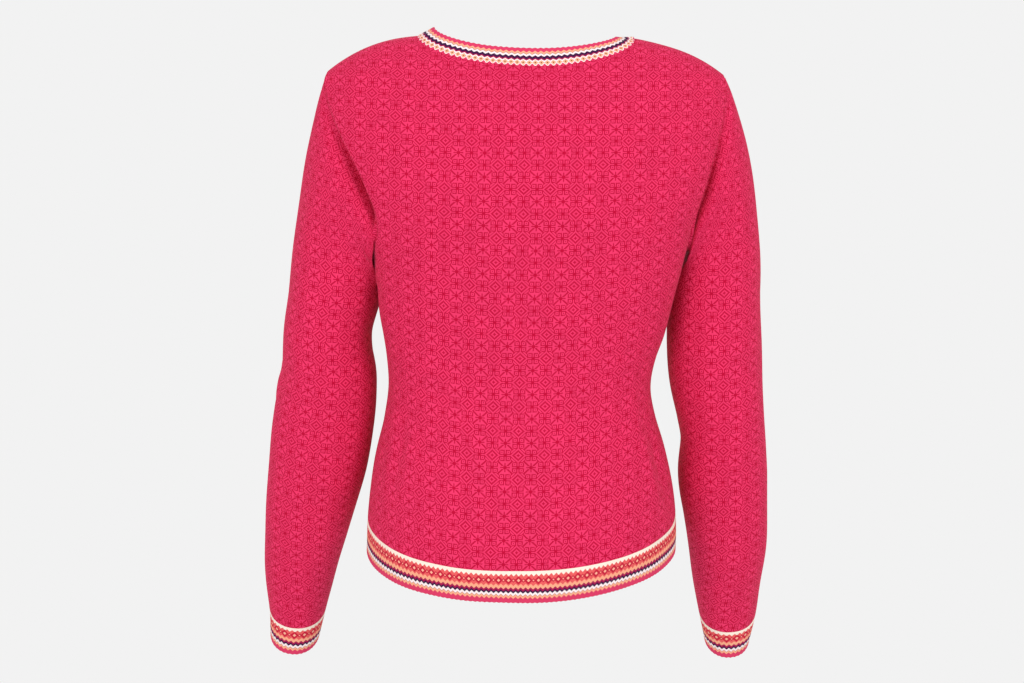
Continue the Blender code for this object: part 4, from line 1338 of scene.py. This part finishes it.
def box(line):
    """The block that joins the tapes at the hem, with two raised studs."""
    foot = Frame(line, 0, 1)
    along = (TAPE_SHORT, BOX_END)
    parts = [block(foot, ((-BOX_HALF, BOX_HALF), along, (BOX_DEPTH, CHAIN_DEPTH + CHAIN)), 0.55, 3)]
    for place in (-STUD_X, STUD_X):
        across, short = (place - STUD_HALF, place + STUD_HALF), (along[0] + 1.0, along[1] - 1.0)
        parts.append(block(foot, (across, short, (BOX_DEPTH - 0.15, BOX_DEPTH + 0.5)), 0.3, 2))
    return parts


def slider(head):
    """Two shield-shaped plates, the post between them, and an arched bridge."""
    parts = []
    for low, high in ((FACE, CHAIN_DEPTH - SEAM_GAP), (BEHIND, BEHIND + BACK_PLATE)):
        outline = rounded(SLIDER_HALF, SLIDER_ALONG, SLIDER_ALONG + SLIDER_LONG, 3.2)
        share = np.clip((outline[:, 1] - SLIDER_ALONG) / SLIDER_LONG, 0, 1)
        outline[:, 0] *= 1 - SLIDER_TAPER * share**1.6
        hole = rounded(0.02, PIN_ALONG - 0.02, PIN_ALONG + 0.02, 2.0)
        parts.append(plate(head, outline, hole, low, high, 0.3))
    along = (SLIDER_ALONG + 0.3, SLIDER_ALONG + POST_LONG)
    parts.append(block(head, ((-POST_HALF, POST_HALF), along, (CHAIN_DEPTH - 0.4, BEHIND + 0.2)), 0.2))
    return parts + [bridge(head)]


def bridge(head):
    """An arched strap from the slider's face, over the pull's bar and back."""
    c, s = superellipse(np.linspace(0, math.pi, 25), 3.6)
    foot, top = FACE + 0.2, PIN_DEPTH - BRIDGE_ROOM - BRIDGE
    outer = np.column_stack([PIN_ALONG - LEG_REACH * c, foot + (top - foot) * s])
    inner = np.column_stack([PIN_ALONG - (LEG_REACH - LEG) * c, foot + (top + BRIDGE - foot) * s])
    middle = (outer + inner) / 2
    rings = []
    for edge, crosswise in ((outer, (-1, -0.6, 0.6, 1)), (inner, (1, 0.6, -0.6, -1))):
        for x, keep in zip(crosswise, (0.75, 1.0, 1.0, 0.75)):
            at = middle + (edge - middle) * keep
            rings.append(np.column_stack([np.full(len(at), x * POST_HALF), at]))
    vertices = np.stack(rings, axis=1)
    return head.place(vertices.reshape(-1, 3)), rod_faces(len(rings), len(middle))


def pull(head):
    """A long plate with an eye that hangs on the bridge, and a raised panel."""
    outline = rounded(PULL_HALF, -PIN / 2, PULL_LONG, 3.4, 96)
    outline[:, 0] *= 0.86 + 0.14 * np.clip((outline[:, 1] - 5.0) / (PULL_LONG - 5.0), 0, 1)
    eye = (PIN / 2 + PULL_EYE) / 2
    c, s = superellipse(np.arctan2(outline[:, 1] - eye, outline[:, 0]), 3.0)
    hole = np.column_stack([PULL_EYE_HALF * c, eye + (PULL_EYE - PIN / 2) / 2 * s])
    down = np.array([0.0, PIN_ALONG])
    low, high = PIN_DEPTH - PIN / 2, PIN_DEPTH + PIN / 2
    panel = ((-1.5, 1.5), (PIN_ALONG + 9.0, PIN_ALONG + 21.5), (low - 0.12, PIN_DEPTH))
    body = plate(head, outline + down, hole + down, low + 0.05, high - 0.05, 0.25)
    return [body, block(head, panel, 0.25, 2)]


def build_zip(line, metal, tape):
    """Tapes, teeth, bottom box, stops, slider and pull."""
    build_tapes(line, tape)
    metal_piece("zip_teeth", "zip_chain", teeth(line), metal)
    metal_piece("zip_box_metal", "zip_box", box(line), metal)
    head = Frame(line, -1, -4)
    for side, name in SIDES:
        cuts = (sorted((side * STOP_IN, side * STOP_OUT)), (STOP_ALONG, STOP_ALONG + STOP_LONG))
        stop = block(head, (*cuts, (CHAIN_DEPTH, CHAIN_DEPTH + CHAIN)), 0.5, 3)
        metal_piece(f"zip_stop_{name}_metal", f"zip_stop_{name}", [stop], metal)
    metal_piece("zip_slider_metal", "zip_slider", slider(head), metal)
    metal_piece("zip_pull_metal", "zip_pull", pull(head), metal, body="pull")


# ---------------------------------------------------------------- sewing
THREAD = 0.22  # its radius
# Rows of stitching: how far inside the edge, from stitch to stitch, a stitch's length.
ZIP_SEWING, NECK_SEWING = (5.0, 3.2, 2.3), (9.0, 3.4, 2.5)
NECK_ENDS = 5  # how many columns of the back the neck's stitching leaves out at both ends


def line_beside(data, edge, far):
    """The line that runs that far inside an edge, with its normals."""
    away = edge_distance(data[..., :3], edge)
    if edge in ("top", "bottom"):
        data, away = data.transpose(1, 0, 2), away.T
    if edge in ("top", "right"):
        data, away = data[:, ::-1], away[:, ::-1]
    found = np.array([read_along(far, reach, row[:, :6]) for row, reach in zip(data, away)])
    return found[:, :3], unit(found[:, 3:])


def sewing(name, line, pitch, long, material):
    """A row of short stitches lying on the cloth, each a rod with drawn-in ends."""
    points, normals = line
    along = lengths(points)
    turn = turns(6)[None, :, None]
    shares, thick = np.array([0.0, 0.2, 0.5, 0.8, 1.0]), np.array([0.35, 1.0, 1.1, 1.0, 0.35]) * THREAD
    height = np.array([-0.3, 1.1, 1.1, 1.1, -0.3]) * THREAD
    parts = []
    for start in np.arange(pitch, along[-1] - pitch, pitch):
        at = start + shares * long
        place = read_along(at, along, points)
        normal = unit(read_along(at, along, normals))
        way = unit(read_along(at + 0.5, along, points) - read_along(at - 0.5, along, points))
        beside = unit(np.cross(way, normal))
        middle = place + normal * (ripple(place) + height)[:, None]
        ring = beside[:, None] * np.cos(turn) + normal[:, None] * np.sin(turn)
        stitch = middle[:, None] + ring * thick[:, None, None]
        parts.append((stitch.reshape(-1, 3), rod_faces(6, len(shares))))
    made = mesh_object(name, *gather_parts(parts), [material])
    fix_normals(made)
    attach(made, "garment")


# ----------------------------------------------------- camera, light, floor
CAMERA_PLACE = (0.010, 1.8791, -0.0192)
CAMERA_PITCH, CAMERA_LENS = 8.5, 66.0
PALE = 242  # the photograph's plain ground, sRGB
AMBIENT = 0.95  # of the pale ground's light that reaches the cloth from all round
FLOOR_LIGHT = 0.9  # and from the floor
FLOOR_Z, FLOOR_HALF = -0.95, 30.0  # in metres, like the camera's place
# Soft boxes: where, towards where, size in metres and power in watts.
LIGHTS = {
    "key": ((-2.6, 3.8, 1.5), (0.0, 0.0, -0.30), 1.8, 79.0),
    "fill": ((2.4, 3.8, 0.3), (0.0, 0.0, -0.30), 2.4, 65.0),
    "front": ((0.9, -4.2, 1.1), (0.0, 0.0, -0.30), 2.4, 40.0),
    "top": ((0.0, 0.3, 3.4), (0.0, 0.0, -0.20), 2.0, 4.0),
}


def glow_pale(tree, node, share):
    """Gives a node the pale ground's colour, full to the eye and dimmed as a light."""
    node.inputs[0].default_value = linear((PALE, PALE, PALE), 1.0)
    seen = tree.nodes.new("ShaderNodeLightPath")
    level = tree.nodes.new("ShaderNodeMapRange")
    level.inputs["To Min"].default_value = share
    level.inputs["To Max"].default_value = 1.0
    tree.links.new(seen.outputs["Is Camera Ray"], level.inputs["Value"])
    tree.links.new(level.outputs[0], node.inputs[1])


def build_camera(scene):
    data = bpy.data.cameras.new("camera")
    data.lens = CAMERA_LENS
    data.sensor_width = 36.0
    camera = bpy.data.objects.new("camera", data)
    camera.location = CAMERA_PLACE
    camera.rotation_euler = (math.radians(90 - CAMERA_PITCH), 0.0, math.pi)
    scene.collection.objects.link(camera)
    scene.camera = camera


def build_ground(scene):
    """The pale ground all round."""
    scene.view_settings.view_transform = "Standard"
    scene.world = scene.world or bpy.data.worlds.new("world")
    scene.world.use_nodes = True
    tree = scene.world.node_tree
    glow_pale(tree, tree.nodes["Background"], AMBIENT)


def build_lights(scene):
    for name, (place, towards, size, power) in LIGHTS.items():
        lamp = bpy.data.lights.new(name, "AREA")
        lamp.shape = "DISK"
        lamp.size = size
        lamp.energy = power
        made = bpy.data.objects.new(name, lamp)
        made.location = place
        made.rotation_euler = (Vector(towards) - Vector(place)).to_track_quat("-Z", "Y").to_euler()
        scene.collection.objects.link(made)


def build_floor():
    """A floor that glows like the pale ground, so that no edge of it shows."""
    floor = bpy.data.materials.new("pale_floor")
    floor.use_nodes = True
    tree = floor.node_tree
    tree.nodes.remove(tree.nodes["Principled BSDF"])
    glow = tree.nodes.new("ShaderNodeEmission")
    tree.links.new(glow.outputs[0], tree.nodes["Material Output"].inputs[0])
    glow_pale(tree, glow, FLOOR_LIGHT)
    corners = np.array([(-1, -1), (1, -1), (1, 1), (-1, 1)]) * FLOOR_HALF
    corners = np.column_stack([corners, np.full(4, FLOOR_Z)]) / MM
    made = mesh_object("floor", corners, [(0, 1, 2, 3)], [floor], smooth=False)


def band_looks():
    """The bands' materials, their outside and inside alike."""
    looks = {}
    for name, width, stripes, lattice, reach in (
        ("neck", NECK_BAND, NECK_STRIPES, SMALL_LATTICE, 0.85),
        ("hem", BAND_TOP_Z - HEM_Z, BAND_STRIPES, DIAMOND_LATTICE, 1.3),
        ("cuff", CUFF, BAND_STRIPES, DIAMOND_LATTICE, 1.15),
    ):
        looks[name] = (band_material(f"{name}_band_knit", width, stripes, lattice, reach),) * 2
    return looks


def main():
    knit = (knit_material("knit_outside", False), knit_material("knit_inside", True))
    bands = band_looks()
    metal = plain_material("zip_metal", NICKEL, 0.32, metallic=1.0, grain=0.02, scale=900.0)
    tape = tape_material("zip_tape_weave")
    thread = plain_material("sewing_thread", THREAD_PINK, 0.6, metallic=0.0, grain=0.05, scale=2500.0)

    armhole_n = build_sleeves(knit)
    back, fronts = build_body(knit, armhole_n)
    neck, hem = build_bands(bands)
    build_cuffs(bands["cuff"])
    build_zip(zip_edges(hem, fronts, neck), metal, tape)
    inside, *stitch = ZIP_SEWING
    for side, name in SIDES:
        sewing(f"zip_stitching_{name}", line_beside(fronts[side], "left", inside), *stitch, thread)
    inside, *stitch = NECK_SEWING
    neck_part = slice(NECK_ENDS * PANEL_FINE, -NECK_ENDS * PANEL_FINE)
    line = [part[neck_part] for part in line_beside(back, "top", inside)]
    sewing("neck_stitching", line, *stitch, thread)

    build_camera(bpy.context.scene)
    build_ground(bpy.context.scene)
    build_lights(bpy.context.scene)
    build_floor()


main()
